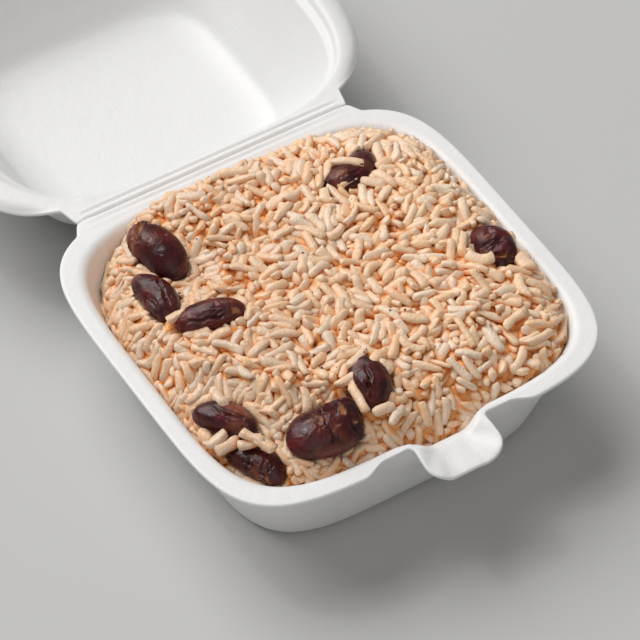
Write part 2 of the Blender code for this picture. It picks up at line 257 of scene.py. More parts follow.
def maths(tree, operation, a, b=0.0):
    return add_node(tree, "ShaderNodeMath", {0: a, 1: b}, operation=operation).outputs[0]


def colour_socket(value):
    """A colour with full opacity, or a socket as it is."""
    return value if isinstance(value, bpy.types.NodeSocket) else (*value, 1.0)


def mix_colour(tree, share, a, b):
    """The first colour at share 0, the second at 1."""
    made = add_node(tree, "ShaderNodeMix", {0: share, 6: colour_socket(a), 7: colour_socket(b)},
                    data_type="RGBA")
    return made.outputs[2]


def ramp(tree, value, low, high):
    """0 at low and below, 1 at high and above."""
    made = add_node(tree, "ShaderNodeMapRange", {"Value": value, "From Min": low, "From Max": high},
                    interpolation_type="SMOOTHSTEP")
    return made.outputs["Result"]


def place_coordinates(tree):
    return add_node(tree, "ShaderNodeTexCoord").outputs["Object"]


def place_along(tree, axis):
    """How far along one axis a point lies, in metres."""
    return add_node(tree, "ShaderNodeSeparateXYZ", {0: place_coordinates(tree)}).outputs[axis]


def add_bump(tree, shader, height, strength, distance):
    """Let a height roughen the shader's surface."""
    bump = add_node(tree, "ShaderNodeBump", {
        "Height": height, "Strength": strength, "Distance": distance})
    tree.links.new(bump.outputs["Normal"], shader.inputs["Normal"])


def attribute(tree, name):
    return add_node(tree, "ShaderNodeAttribute", attribute_name=name).outputs["Fac"]


def new_material(name, **values):
    """A Principled material and its tree; values go on the shader's own sockets."""
    mat = bpy.data.materials.new(name)
    mat.use_nodes = True
    shader = mat.node_tree.nodes["Principled BSDF"]
    for key, value in values.items():
        shader.inputs[key.replace("_", " ").title()].default_value = value
    return mat, mat.node_tree, shader


def new_group(name, inputs, outputs):
    """An empty node group with named sockets, as (tree, input node, output node)."""
    tree = bpy.data.node_groups.new(name, "ShaderNodeTree")
    for label, kind, value in inputs:
        socket = tree.interface.new_socket(label, in_out="INPUT", socket_type=kind)
        socket.default_value = value
    for label, kind in outputs:
        tree.interface.new_socket(label, in_out="OUTPUT", socket_type=kind)
    return tree, tree.nodes.new("NodeGroupInput"), tree.nodes.new("NodeGroupOutput")


def unevenness_group():
    """Soft unevenness at a chosen size, as a height from 0 to 1."""
    group, start, end = new_group(
        "fine_unevenness",
        [("Size", "NodeSocketFloat", 500.0), ("Detail", "NodeSocketFloat", 3.0)],
        [("Height", "NodeSocketFloat")])
    where = place_coordinates(group)
    texture = add_node(group, "ShaderNodeTexNoise", {
        "Vector": where, "Scale": start.outputs["Size"], "Detail": start.outputs["Detail"]})
    group.links.new(texture.outputs["Fac"], end.inputs["Height"])
    return group


UNEVEN = unevenness_group()


def unevenness(tree, size, detail):
    """The shared unevenness with its own size and detail, as a height."""
    made = add_node(tree, "ShaderNodeGroup", node_tree=UNEVEN)
    made.inputs["Size"].default_value = size
    made.inputs["Detail"].default_value = detail
    return made.outputs["Height"]


def foam_material():
    """White pressed foam: a satin skin over fine flattened cells."""
    mat, tree, shader = new_material(
        "white_pressed_foam", roughness=0.42, subsurface_weight=0.12, subsurface_scale=0.002)
    shader.inputs["Subsurface Radius"].default_value = (1.0, 0.9, 0.8)
    cells = add_node(tree, "ShaderNodeTexVoronoi", {"Vector": place_coordinates(tree), "Scale": 1150.0},
                     feature="SMOOTH_F1").outputs["Distance"]
    streaks = unevenness(tree, 260.0, 4.0)
    height = maths(tree, "ADD", maths(tree, "MULTIPLY", cells, 0.35), streaks)
    add_bump(tree, shader, height, 0.42, 0.35 * MM)
    cloud = unevenness(tree, 45.0, 2.0)
    colour = mix_colour(tree, cloud, (0.83, 0.832, 0.83), (0.87, 0.872, 0.87))
    # the lid's foam is painted a little greyer than the tray's: painted shade for the less light the
    # same foam gets there
    lid = ramp(tree, place_along(tree, "Y"), 66.0 * MM, 90.0 * MM)
    colour = mix_colour(tree, maths(tree, "MULTIPLY", lid, 0.5), colour, (0.72, 0.722, 0.72))
    tree.links.new(colour, shader.inputs["Base Color"])
    rough = maths(tree, "ADD", maths(tree, "MULTIPLY", cloud, 0.12), 0.36)
    tree.links.new(rough, shader.inputs["Roughness"])
    return mat


def rice_material():
    """Cooked grain: cream to peach, with painted orange-brown shade where it lies deep and painted
    light on the heap's right side, moist and clouded.
    """
    mat, tree, shader = new_material(
        "cooked_rice", subsurface_weight=0.12, subsurface_scale=0.0016, roughness=0.4)
    shader.inputs["Subsurface Radius"].default_value = (1.0, 0.84, 0.66)
    shader.inputs["Specular IOR Level"].default_value = 0.42
    # each grain has its own tone between cream and peach, in patches, and is painted paler towards the
    # right side and darker towards the left as painted light
    patch = unevenness(tree, 38.0, 2.0)
    painted_right_light = ramp(tree, place_along(tree, "X"), -50.0 * MM, 50.0 * MM)
    cream = mix_colour(tree, painted_right_light, (0.79, 0.605, 0.455), (0.97, 0.765, 0.58))
    peach = mix_colour(tree, painted_right_light, (0.90, 0.56, 0.33), (0.97, 0.62, 0.37))
    tone = maths(tree, "ADD", attribute(tree, "tone"), maths(tree, "MULTIPLY", patch, 0.7))
    colour = mix_colour(tree, ramp(tree, tone, 0.35, 1.25), cream, peach)
    # chalky clouds, the painted orange shade of the gaps, darker tips and a few brown specks
    cloudy = unevenness(tree, 700.0, 3.0)
    colour = mix_colour(tree, ramp(tree, cloudy, 0.52, 0.72), colour, (0.87, 0.72, 0.575))
    # painted shade: grains turn deep orange where they lie low between their neighbours, standing in
    # for shade and orange bounce light
    gap = ramp(tree, attribute(tree, "depth"), 0.08, 0.66)
    colour = mix_colour(tree, gap, colour, (0.94, 0.43, 0.14))
    tips = ramp(tree, maths(tree, "ABSOLUTE", attribute(tree, "along")), 0.86, 1.0)
    colour = mix_colour(tree, maths(tree, "MULTIPLY", tips, 0.35), colour, (0.92, 0.56, 0.32))
    spots = add_node(tree, "ShaderNodeTexVoronoi", {"Vector": place_coordinates(tree), "Scale": 210.0})
    speck = ramp(tree, spots.outputs["Distance"], 0.07, 0.04)
    colour = mix_colour(tree, maths(tree, "MULTIPLY", speck, 0.75), colour, (0.16, 0.05, 0.02))
    tree.links.new(colour, shader.inputs["Base Color"])
    add_bump(tree, shader, unevenness(tree, 1100.0, 3.0), 0.8, 0.4 * MM)
    rough = maths(tree, "ADD", maths(tree, "MULTIPLY", cloudy, 0.25), 0.16)
    tree.links.new(rough, shader.inputs["Roughness"])
    return mat


def core_shade_material():
    """The rice below the loose grains: the orange of moist starch, darkened to the painted shade of the
    gaps between the lower grains.
    """
    mat, tree, shader = new_material("rice_below_painted_shade", roughness=0.4)
    height = unevenness(tree, 420.0, 3.0)
    colour = mix_colour(tree, height, (0.66, 0.28, 0.07), (0.84, 0.45, 0.18))
    tree.links.new(colour, shader.inputs["Base Color"])
    add_bump(tree, shader, height, 0.6, 0.8 * MM)
    return mat


def bean_material():
    """Dark maroon skin with a wet gloss, and mealy flesh where the skin is torn."""
    mat, tree, shader = new_material(
        "red_bean_skin", coat_weight=0.16, coat_roughness=0.10, subsurface_weight=0.1,
        subsurface_scale=0.001)
    shader.inputs["Specular IOR Level"].default_value = 0.26
    flesh = attribute(tree, "flesh")
    cloud = ramp(tree, unevenness(tree, 160.0, 3.0), 0.35, 0.7)
    fine = unevenness(tree, 1300.0, 3.0)
    skin = mix_colour(tree, cloud, (0.045, 0.008, 0.009), (0.12, 0.017, 0.015))
    skin = mix_colour(tree, attribute(tree, "pale"), skin, (0.28, 0.085, 0.04))
    meal = mix_colour(tree, fine, (0.28, 0.085, 0.03), (0.47, 0.20, 0.085))
    tree.links.new(mix_colour(tree, flesh, skin, meal), shader.inputs["Base Color"])
    knobs = unevenness(tree, 520.0, 2.0)
    height = maths(tree, "ADD", maths(tree, "MULTIPLY", fine, 0.35), knobs)
    add_bump(tree, shader, height, 0.55, 0.5 * MM)
    # the gloss is broken by dull patches, and the flesh is dull all over
    dull = ramp(tree, unevenness(tree, 330.0, 3.0), 0.42, 0.62)
    rough = maths(tree, "ADD", maths(tree, "MULTIPLY", flesh, 0.3), maths(tree, "MULTIPLY", dull, 0.34))
    tree.links.new(maths(tree, "ADD", rough, 0.15), shader.inputs["Roughness"])
    return mat


def ground_material():
    """Plain light grey, very softly clouded."""
    mat, tree, shader = new_material("plain_ground", roughness=0.75)
    colour = mix_colour(tree, unevenness(tree, 3.0, 2.0), (0.54, 0.54, 0.54), (0.56, 0.56, 0.56))
    tree.links.new(colour, shader.inputs["Base Color"])
    return mat


# ============================================================ the tray

def tongue_path():
    """Edge of the pull tab from its right root to its left one, as points and running length."""
    def arc(cx, cy, radius, start, end, steps):
        turn = np.radians(np.linspace(start, end, steps + 1))
        return list(zip(cx + radius * np.cos(turn), cy + radius * np.sin(turn)))

    right = arc(TAB_ROOT, -TAB_DRAW + TAB_FILLET, TAB_FILLET, 270, 180, 8)
    right += arc(TAB_HALF - TAB_CORNER, TAB_REACH - TAB_CORNER, TAB_CORNER, 0, 90, 14)
    points = np.array(right + [(-u, out) for u, out in reversed(right)])
    run = np.concatenate(([0.0], np.cumsum(np.hypot(*np.diff(points, axis=0).T))))
    return points, run / run[-1]


def tab_height(u, out):
    """Height of the tab above the rim: high shoulders, a low middle, a drooping end."""
    u = np.abs(u)
    middle = -TAB_DIP * (1.0 - smooth(u, 4.5 * MM, 11.0 * MM))
    shoulder = 0.35 * MM * np.exp(-((u - TAB_HALF) / (3.0 * MM)) ** 2)
    droop = -1.1 * MM * smooth(out, 0.0, TAB_REACH) * smooth(u, 2.0 * MM, 9.0 * MM)
    return middle + shoulder + droop - 0.3 * MM * smooth(out, 0.0, TAB_REACH)


def tab_lean(u):
    """How far the wall's top leans out under the tab, u off its middle."""
    return TAB_LIP_OUT * (1.0 - smooth(np.abs(u), 6.0 * MM, 17.0 * MM))


def tray_density(x, y):
    """Closer points round the tab, beside it and at the ends of the hinge strip."""
    near_tab = (y < 0.0) & (np.abs(x - TAB_X) < TAB_ROOT)
    near_notch = (y < 0.0) & (np.abs(x - TAB_X) < TAB_ZONE)
    web_end = (y > 0.0) & (np.abs(np.abs(x) - 0.5 * (WEB_HALF + WEB_END_TRAY)) < 4.0 * MM)
    return np.where(near_tab, 3.2, np.where(near_notch, 1.6, np.where(web_end, 3.0, 1.0)))


def rim_edge(angles):
    """Outer edge of the tray's rim with its hinge root and its tab."""
    x, y = rounded_square(RIM_HALF, RIM_POWER, angles)
    z = np.full_like(x, RIM_Z)
    u = x - TAB_X
    zone = (y < 0.0) & (np.abs(u) < TAB_ZONE)
    out = -TAB_DRAW * smooth(np.abs(u), TAB_ZONE, TAB_NOTCH)
    path, run = tongue_path()
    share = (TAB_ROOT - u) / (2.0 * TAB_ROOT)
    tongue = zone & (np.abs(u) < TAB_ROOT)
    u = np.where(tongue, np.interp(share, run, path[:, 0]), u)
    out = np.where(tongue, np.interp(share, run, path[:, 1]), out)
    x = np.where(zone, u + TAB_X, x)
    y = np.where(zone, -outline_depth(RIM_HALF, RIM_POWER, x) - out, y)
    z = np.where(zone, RIM_Z + tab_height(u, np.maximum(out, 0.0)), z)
    root = 1.0 - smooth(np.abs(x), WEB_HALF, WEB_END_TRAY)
    y = np.where(~zone & (y > 0.0), y + (HINGE_Y - HINGE_SLIT - y) * root, y)
    return stack(x, y, z)


def wall_point(angles, z, extra=0.0):
    """Points of the tray's inner wall line at height z, moved out by extra."""
    rise = z / RIM_Z
    half = [b + (w - b) * rise + extra for b, w in zip(BASE_HALF, WALL_HALF)]
    x, y = rounded_square(half, TRAY_POWER, angles)
    return stack(x, y + BASE_SHIFT * (1.0 - rise), z)


def wall_lean(p):
    """How far the front wall leans out under the tab, at points near it."""
    lean = tab_lean(p[:, 0] - TAB_X) * smooth(p[:, 2], WALL_BREAK * RIM_Z, 35.0 * MM)
    return lean * smooth(-p[:, 1], 35.0 * MM, 52.0 * MM)


def ripple(points):
    """Height of the creases beside the fold, along the strip that bends."""
    y = points[..., 1] - HINGE_Y
    across = 1.0 - smooth(np.abs(points[..., 0]), WEB_HALF - 4.0 * MM, WEB_HALF)
    near = 1.0 - smooth(np.abs(y), 3.6 * MM, 4.8 * MM)
    return -RIPPLE * np.cos(2.0 * math.pi * y / RIPPLE_PITCH) * across * near


def tray_surface():
    """Upper surface of the tray as rings, from the edge of the rim to the middle of the floor."""
    angles = spaced_angles(RIM_HALF, RIM_POWER, COLUMNS, tray_density)
    lean = math.atan2(WALL_HALF[0] - BASE_HALF[0], RIM_Z)
    turn = 0.5 * math.pi - lean
    reach = RIM_BEND * math.tan(turn / 2.0)
    foot = BASE_BEND * math.tan(turn / 2.0)
    edge = rim_edge(angles)

    def under_tab(p, fade, flat):
        u = p[:, 0] - TAB_X
        y = soft_max(p[:, 1] - tab_lean(u) * fade, edge[:, 1] + flat, 0.4 * MM)
        front = p[:, 1] < -0.5 * RIM_HALF[1]
        p[:, 1] = np.where(front, y, p[:, 1])
        p[:, 2] += np.where(front, tab_height(u, 0.0) * fade, 0.0)
        return p

    bend = []
    for t in np.linspace(0.0, 1.0, 7):
        drop = RIM_BEND * (1.0 - math.cos(turn * t))
        p = wall_point(angles, RIM_Z, reach - RIM_BEND * math.sin(turn * t))
        p[:, 2] -= drop
        flat = RIM_LEAST * (1.0 + 1.6 * t - 0.2 * t * t)
        bend.append(under_tab(p, 1.0 - drop / (12.0 * MM), flat))
    start = bend[0]

    inward = start - edge
    width = np.linalg.norm(inward, axis=1, keepdims=True)
    first = edge + inward / width * np.minimum(0.5 * RIM_FOAM, 0.45 * width)
    flange = [first + (start - first) * t for t in (0.0, 0.14, 0.28, 0.42, 0.56, 0.7, 0.85)]

    bend_end = RIM_Z - RIM_BEND * (1.0 - math.cos(turn))
    curve_start = FOAM + STAND_DROP + foot * math.cos(lean)
    wall = []
    for t in np.linspace(0.0, 1.0, 10)[1:]:
        z = bend_end + (curve_start - bend_end) * t
        fade = smooth(z, WALL_BREAK * RIM_Z, bend_end) * (1.0 - (RIM_Z - bend_end) / (12.0 * MM))
        wall.append(under_tab(wall_point(angles, z), fade, 2.4 * RIM_LEAST))
    top, corner = wall[-1], wall_point(angles, FOAM + STAND_DROP)
    end = wall_point(angles, FOAM + STAND_DROP, -foot)
    curve = [(1 - t) ** 2 * top + 2 * t * (1 - t) * corner + t * t * end
             for t in (0.2, 0.4, 0.6, 0.8, 1.0)]
    middle = np.array([0.0, BASE_SHIFT, FOAM])
    floor = [middle + (end - middle) * s for s in (0.9, 0.5, 0.08)]
    for ring in floor:
        ring[:, 2] = FOAM
    rows = np.array(flange + bend + wall + curve + floor)
    rows[..., 2] += ripple(rows) * (rows[..., 1] > 0.0)
    return rows


def thickened(rows, thickness):
    """A closed wall below an upper surface: rings from its middle over the rounded edge and back.

    rows run from the outer edge inwards; thickness is one value for each row.
    """
    along = np.roll(rows, -1, axis=1) - np.roll(rows, 1, axis=1)
    inward = np.gradient(rows, axis=0)
    normal = np.cross(along, inward)
    normal /= np.linalg.norm(normal, axis=2, keepdims=True) + 1e-12
    if normal[-1, :, 2].mean() < 0.0:
        normal = -normal
    under = rows - normal * np.asarray(thickness)[:, None, None]
    centre = 0.5 * (rows[0] + under[0])
    radius = 0.5 * np.linalg.norm(rows[0] - under[0], axis=1, keepdims=True)
    up = (rows[0] - centre) / radius
    out = rows[0] - rows[1]
    out -= up * np.sum(out * up, axis=1, keepdims=True)
    out /= np.linalg.norm(out, axis=1, keepdims=True)
    turned = []
    for a in np.radians((60.0, 30.0, 0.0, -30.0, -60.0)):
        turned.append(centre + radius * (up * math.sin(a) + out * math.cos(a)))
    under[..., 2] = np.maximum(under[..., 2], UNDERSIDE)
    return np.concatenate((rows[::-1], np.array(turned), under))


def make_tray(foam):
    """The square tray with its rim, its pull tab and its half of the strip beside the fold."""
    rows = tray_surface()
    drop = RIM_Z - rows[:, 0, 2]
    thickness = RIM_FOAM + (FOAM - RIM_FOAM) * smooth(drop, 0.0, 6.0 * MM)
    tray = drawn_shell("foam_tray", thickened(rows, thickness))
    tray.data.materials.append(foam)
    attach(tray, "box_base")
    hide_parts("tray")
    return tray


# ============================================================ the lid and the hinge

def lid_density(x, y):
    """Closer points at the ends of the hinge strip."""
    web_end = (y < 0.0) & (np.abs(np.abs(x) - 0.5 * (WEB_HALF + WEB_END_LID)) < 4.0 * MM)
    return np.where(web_end, 3.0, 1.0)


def lid_ring(angles, half_x, near, far, z, power, centre_x=1.5 * MM):
    """A level rounded square between the sides y = near and y = far."""
    x, y = rounded_square((half_x, 0.5 * (far - near)), power, angles)
    return stack(x + centre_x, y + 0.5 * (far + near), z)


def lid_edge(angles):
    """The lid's outer edge, drawn out to the fold along the hinge strip."""
    x, y = rounded_square(LID_HALF, LID_POWER, angles)
    root = np.where(y < 0.0, 1.0 - smooth(np.abs(x), WEB_HALF, WEB_END_LID), 0.0)
    level = np.where(y < 0.0, 1.0 - smooth(np.abs(x), WEB_END_LID, LID_LIP_FULL), 0.0)
    y = y + LID_CENTRE_Y
    y += (HINGE_Y + HINGE_SLIT - y) * root
    return stack(x, y, RIM_Z - LID_EDGE_DROP * (1.0 - level))


def lip_row(edge, lip, share, sag):
    """A ring part of the way from the edge to the lip, sagging with the edge by a share."""
    row = edge + (lip - edge) * share
    row[:, 2] = RIM_Z - sag * (RIM_Z - edge[:, 2])
    return row


def through(rings, counts):
    """Rings on smooth lines through the given ones, with so many steps after each."""
    rings = np.array(rings)
    chord = np.linalg.norm(np.diff(rings, axis=0), axis=2, keepdims=True) + 1e-9
    slope = np.diff(rings, axis=0) / chord
    tangent = np.empty_like(rings)
    tangent[0], tangent[-1] = slope[0], slope[-1]
    before, after = chord[:-1], chord[1:]
    tangent[1:-1] = (slope[:-1] * after + slope[1:] * before) / (before + after)
    rows = []
    for k, count in enumerate(counts):
        for t in np.arange(count) / count:
            h = chord[k]
            leaving = (2 * t ** 3 - 3 * t ** 2 + 1) * rings[k]
            leaving = leaving + (t ** 3 - 2 * t ** 2 + t) * h * tangent[k]
            arriving = (3 * t ** 2 - 2 * t ** 3) * rings[k + 1]
            rows.append(leaving + arriving + (t ** 3 - t ** 2) * h * tangent[k + 1])
    rows.append(rings[-1])
    return np.array(rows)


def lid_surface():
    """Upper surface of the open lid: lip, ledge, shoulder, wall and panel."""
    angles = spaced_angles(LID_HALF, LID_POWER, COLUMNS, lid_density)

    # half-width, distance of the near and the far side from the origin, drop below the rim (all
    # in mm) and squareness
    def ring(half_x, near, far, drop, power):
        return lid_ring(angles, half_x * MM, near * MM, far * MM, RIM_Z - drop * MM, power)

    lip = ring(63.3, 71.2, 194.6, 0.35, 3.6)
    edge = lid_edge(angles)
    floor_x, floor_y = LID_FLOOR_CENTRE
    near, far = floor_y - LID_FLOOR_HALF[1], floor_y + LID_FLOOR_HALF[1]

    # the same round the panel: how far outside it, at the sides, near and far, and how far above
    def foot(out, near_out, far_out, up):
        return lid_ring(angles, LID_FLOOR_HALF[0] + out * MM, near - near_out * MM,
                        far + far_out * MM, LID_FLOOR_Z + up * MM, LID_FLOOR_POWER, floor_x)

    rings = [
        edge, lip_row(edge, lip, 0.25, 0.32), lip_row(edge, lip, 0.62, 0.0), lip,
        ring(61.9, 72.0, 192.9, 2.1, 3.7), ring(59.4, 73.0, 189.6, 2.7, 3.8),
        ring(58.0, 74.1, 187.4, 4.6, 3.9), foot(4.6, 4.2, 7.5, 6.3), foot(1.2, 1.0, 2.0, 1.5),
        foot(-3.0, -3.0, -4.0, 0.0),
    ]
    rows = through(rings, (5, 6, 5, 5, 3, 4, 7, 5, 4))
    inset = rows[1] - rows[0]
    width = np.linalg.norm(inset, axis=1, keepdims=True)
    rows[0] = rows[0] + inset / width * np.minimum(0.5 * RIM_FOAM, 0.6 * width)
    middle = np.array([floor_x, floor_y, LID_FLOOR_Z])
    panel = np.array([middle + (rows[-1] - middle) * s for s in (0.85, 0.65, 0.45, 0.25, 0.05)])
    rows = np.concatenate((rows, panel))
    rows[..., 2] += ripple(rows) * (rows[..., 2] > RIM_Z - 1.0 * MM)
    return rows


def make_lid(foam):
    """The lid as it lies open, hollow side up."""
    rows = lid_surface()
    drop = RIM_Z - rows[:, COLUMNS // 4, 2]
    thickness = RIM_FOAM + (FOAM - RIM_FOAM) * smooth(drop, 2.0 * MM, 8.0 * MM)
    lid = drawn_shell("foam_lid", thickened(rows, thickness))
    lid.data.materials.append(foam)
    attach(lid, "box_lid")
    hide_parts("lid")
    return lid


def make_hinge_strip(foam):
    """The creased strip over the fold, as it lies with the lid open."""
    select_none()
    half_x, half_y, half_z = WEB_HALF - 0.3 * MM, 1.0 * MM, 0.45 * MM
    bpy.ops.mesh.primitive_cube_add(size=2.0, location=(0.0, HINGE_Y, RIM_Z - 0.62 * MM),
                                    scale=(half_x, half_y, half_z))
    strip = name_piece("hinge_strip")
    bpy.ops.object.transform_apply(location=True, rotation=True, scale=True)
    bpy.ops.object.mode_set(mode="EDIT")
    bpy.ops.mesh.select_all(action="SELECT")
    bpy.ops.mesh.subdivide(number_cuts=15)
    bpy.ops.object.mode_set(mode="OBJECT")
    points = points_of(strip)
    points[:, 2] += ripple(points)
    set_points(strip, points)
    bpy.ops.object.shade_smooth()
    strip.data.materials.append(foam)
    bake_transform(strip)
    return strip


# ============================================================ the heap

def squareness(x, y):
    """Distance from the middle as a share of the heap's rounded square, for shares x and y."""
    return (np.abs(x) ** TRAY_POWER + np.abs(y) ** TRAY_POWER) ** (1.0 / TRAY_POWER)


def rice_contact(x, y):
    """Height at which the heap meets the wall, for x and y as shares of the half-widths.

    It stands higher along the back, left of its middle most of all, and has a hollow on the left.
    """
    fade = 1.0 - smooth(x, 0.46, 0.58) - smooth(-x, 0.48, 0.72)
    back = (12.5 * MM - 5.3 * MM * smooth(x, 0.04, 0.2)) * np.maximum(y, 0.0) ** 2 * fade
    hollow = 7.0 * MM * np.exp(-((x + 0.86) / 0.16) ** 2 - ((y - 0.76) / 0.2) ** 2)
    return RICE_LEVEL + RICE_SLOPE * x + back - hollow


def heap_top(x, y):
    """Height of the heap's outline above a place, as its solid's but with fuller shoulders."""
    sx, sy = x / RICE_HALF[0], y / RICE_HALF[1]
    rho = np.maximum(squareness(sx, sy), 1e-3)
    contact = rice_contact(sx / rho, sy / rho)
    front, back = RICE_SHOULDER
    sharp = front + (back - front) * smooth(sy / rho, 0.0, 1.0)
    crown = RICE_CROWN + 1.5 * MM * sy - 1.6 * MM * smooth(-sy, 0.3, 1.0)
    rho = np.minimum(rho, 1.0)
    return contact + (crown - contact) * (1.0 - rho ** sharp)


# ============================================================ the beans

# name, middle in mm, length, width, height, heading, pitch, roll (degrees), bend, and how far
# the rice beside it comes up past its middle
BEANS = (
    ("bean_1", (-36.2, 37.7, 43.4), 23.8, 12.8, 10.6, -80, 8, 10, 0.08, -0.8),
    ("bean_2", (-45.3, 22.8, 42.1), 20.6, 10.8, 9.5, -89, -2, -20, 0.16, -0.4),
    ("bean_3", (-36.9, 6.1, 45.2), 21.6, 9.5, 8.5, -20, -9, 15, 0.07, 0.0),
    ("bean_4", (29.5, 33.5, 45.0), 21.5, 11.2, 9.6, 16, 3, -15, -0.18, 3.0),
    ("bean_5", (50.8, -12.8, 41.8), 18.5, 12.2, 9.0, -96, 0, 12, 0.10, 1.5),
    ("bean_6", (-10.3, -39.2, 43.0), 17.4, 12.6, 10.2, -108, 22, 5, 0.06, 1.8),
    ("bean_7", (-29.8, -45.8, 39.4), 23.0, 15.6, 11.5, -12, 0, 0, 0.04, 0.0),
    ("bean_8", (-50.6, -26.0, 38.2), 21.0, 11.0, 9.6, -60, -5, -10, 0.18, 1.0),
    ("bean_9", (-49.2, -41.0, 33.4), 20.0, 10.4, 9.2, -66, 0, 0, 0.14, 2.0),
)

# What each bean went through in the pot. A crease is a wavy furrow, a tear bares the flesh, a
# dent sinks the skin and a swell lifts it, a stain only lightens it.
# kind, share along the bean, turn round it (90 is its top), heading on the skin, length, width,
# depth (mm)
MARKS = {
    "bean_1": (
        ("tear", -0.72, 84, 62, 7.5, 1.7, 0.9), ("dent", -0.62, 128, 70, 6.0, 3.0, 0.8),
        ("tear", -0.50, 165, 40, 4.0, 2.6, 0.5), ("crease", -0.05, 50, 75, 3.4, 0.22, 0.28),
        ("tear", -0.08, 54, 80, 1.6, 0.5, 0.15), ("crease", 0.25, 60, 10, 5.0, 0.25, 0.18),
        ("stain", -0.80, 130, 60, 7.0, 6.0, 0.6), ("dent", 0.42, 74, 10, 4.0, 1.6, 0.3)),
    "bean_2": (
        ("crease", 0.15, 100, 12, 13.0, 0.50, 0.9), ("dent", 0.38, 88, 15, 7.0, 2.8, 1.0),
        ("crease", 0.40, 104, -10, 6.0, 0.30, 0.5), ("dent", 0.05, 165, 40, 2.4, 1.6, 0.7),
        ("crease", 0.45, 165, 8, 7.0, 0.35, 0.5), ("swell", 0.30, 135, 5, 7.0, 2.2, 0.35),
        ("crease", -0.10, 85, 70, 2.4, 0.25, 0.3)),
    "bean_3": (
        ("crease", -0.15, 124, 4, 13.5, 0.42, 0.55), ("crease", 0.18, 118, -14, 6.0, 0.30, 0.45),
        ("dent", 0.22, 128, 0, 4.5, 1.8, 0.5), ("tear", 0.72, 116, 20, 3.0, 2.2, 0.35),
        ("crease", 0.35, 98, 50, 3.0, 0.22, 0.25), ("swell", -0.2, 145, 0, 12.0, 2.4, 0.3),
        ("crease", 0.20, 92, 30, 2.5, 0.2, 0.2)),
    "bean_4": (
        ("stain", -0.52, 108, 20, 5.0, 3.0, 0.7), ("crease", -0.25, 128, 10, 8.0, 0.4, 0.4),
        ("dent", 0.0, 112, 90, 5.0, 5.0, 0.9), ("crease", 0.50, 105, 60, 4.0, 0.3, 0.3)),
    "bean_5": (
        ("tear", -0.27, 102, 80, 2.2, 0.8, 0.3), ("crease", 0.03, 112, 80, 5.5, 0.45, 0.8),
        ("dent", -0.35, 84, 30, 4.5, 2.4, 0.9), ("dent", 0.12, 74, 60, 6.0, 2.6, 1.1),
        ("tear", 0.74, 70, 92, 5.5, 1.7, 0.9), ("crease", 0.62, 100, 85, 7.0, 0.5, 1.1),
        ("swell", 0.90, 92, 0, 3.5, 4.0, 0.8), ("crease", 0.36, 106, 55, 4.5, 0.3, 0.5),
        ("dent", 0.70, 40, 0, 4.0, 2.5, 1.2)),
    "bean_6": (
        ("crease", -0.05, 92, 4, 11.0, 0.45, 0.75), ("crease", 0.40, 96, -6, 7.0, 0.40, 0.7),
        ("dent", 0.34, 102, 10, 3.4, 1.7, 0.9), ("dent", -0.62, 92, 0, 6.0, 9.0, 1.2),
        ("swell", 0.05, 112, 0, 5.0, 3.6, 0.6), ("swell", 0.12, 66, 0, 7.0, 4.0, 0.5),
        ("crease", 0.06, 128, 70, 4.0, 0.25, 0.3), ("crease", 0.2, 80, 40, 3.0, 0.3, 0.3)),
    "bean_7": (
        ("swell", 0.68, 58, 10, 10.0, 8.5, 3.3), ("crease", 0.08, 112, 84, 12.0, 0.36, 0.9),
        ("crease", 0.24, 62, 60, 8.0, 0.8, 1.5), ("tear", 0.50, 84, 70, 2.6, 1.6, 0.3),
        ("crease", 0.70, 64, 8, 7.0, 0.5, 1.0), ("crease", 0.78, 140, 80, 8.0, 0.5, 1.0),
        ("tear", -0.40, 80, 4, 2.6, 0.7, 0.2), ("tear", 0.76, 114, 10, 1.5, 0.8, 0.2),
        ("tear", 0.28, 112, 0, 1.6, 0.5, 0.2), ("tear", -0.05, 86, 90, 1.6, 0.9, 0.4),
        ("dent", 0.64, 136, 40, 4.5, 2.6, 0.8), ("crease", -0.12, 78, 60, 3.0, 0.4, 0.6),
        ("dent", 0.10, 62, 0, 5.0, 4.5, 1.6), ("stain", 0.0, 168, 5, 14.0, 4.0, 0.35)),
    "bean_8": (
        ("crease", -0.05, 116, 16, 8.0, 0.40, 0.5), ("crease", 0.35, 116, -14, 7.0, 0.40, 0.6),
        ("dent", 0.70, 128, 50, 3.5, 1.6, 0.7), ("swell", 0.68, 116, 60, 3.0, 1.2, 0.4),
        ("stain", 0.26, 82, -4, 11.0, 4.2, 0.65), ("swell", -0.3, 150, 0, 9.0, 4.0, 0.4),
        ("crease", 0.15, 128, 60, 3.0, 0.3, 0.4)),
    "bean_9": (
        ("tear", 0.62, 164, 60, 4.0, 1.4, 0.5), ("crease", 0.2, 150, 10, 10.0, 0.4, 0.6),
        ("crease", 0.35, 128, 70, 6.0, 0.35, 0.6), ("crease", -0.1, 150, 75, 5.0, 0.35, 0.5),
        ("crease", 0.60, 130, 80, 5.0, 0.3, 0.5), ("stain", 0.25, 160, 30, 6.0, 4.0, 0.4)),
}


def bean_turn(heading, pitch, roll):
    """Rotation of something that lies along X, from angles in degrees."""
    return np.array(Euler([math.radians(v) for v in (roll, pitch, heading)], "XYZ").to_matrix())


def kidney(half, bend, u, turn):
    """Points of a plain bean along X, for shares u along it and turns round it."""
    ring = np.maximum(1.0 - np.abs(u) ** 2.7, 0.0) ** 0.45
    full = 0.95 * (1.0 + 0.10 * (1.0 - u * u))
    return stack(half[0] * u,
                 half[1] * (ring * np.cos(turn) * full - bend * 2.0 * (u * u - 0.4)),
                 half[2] * ring * np.sin(turn) * full)


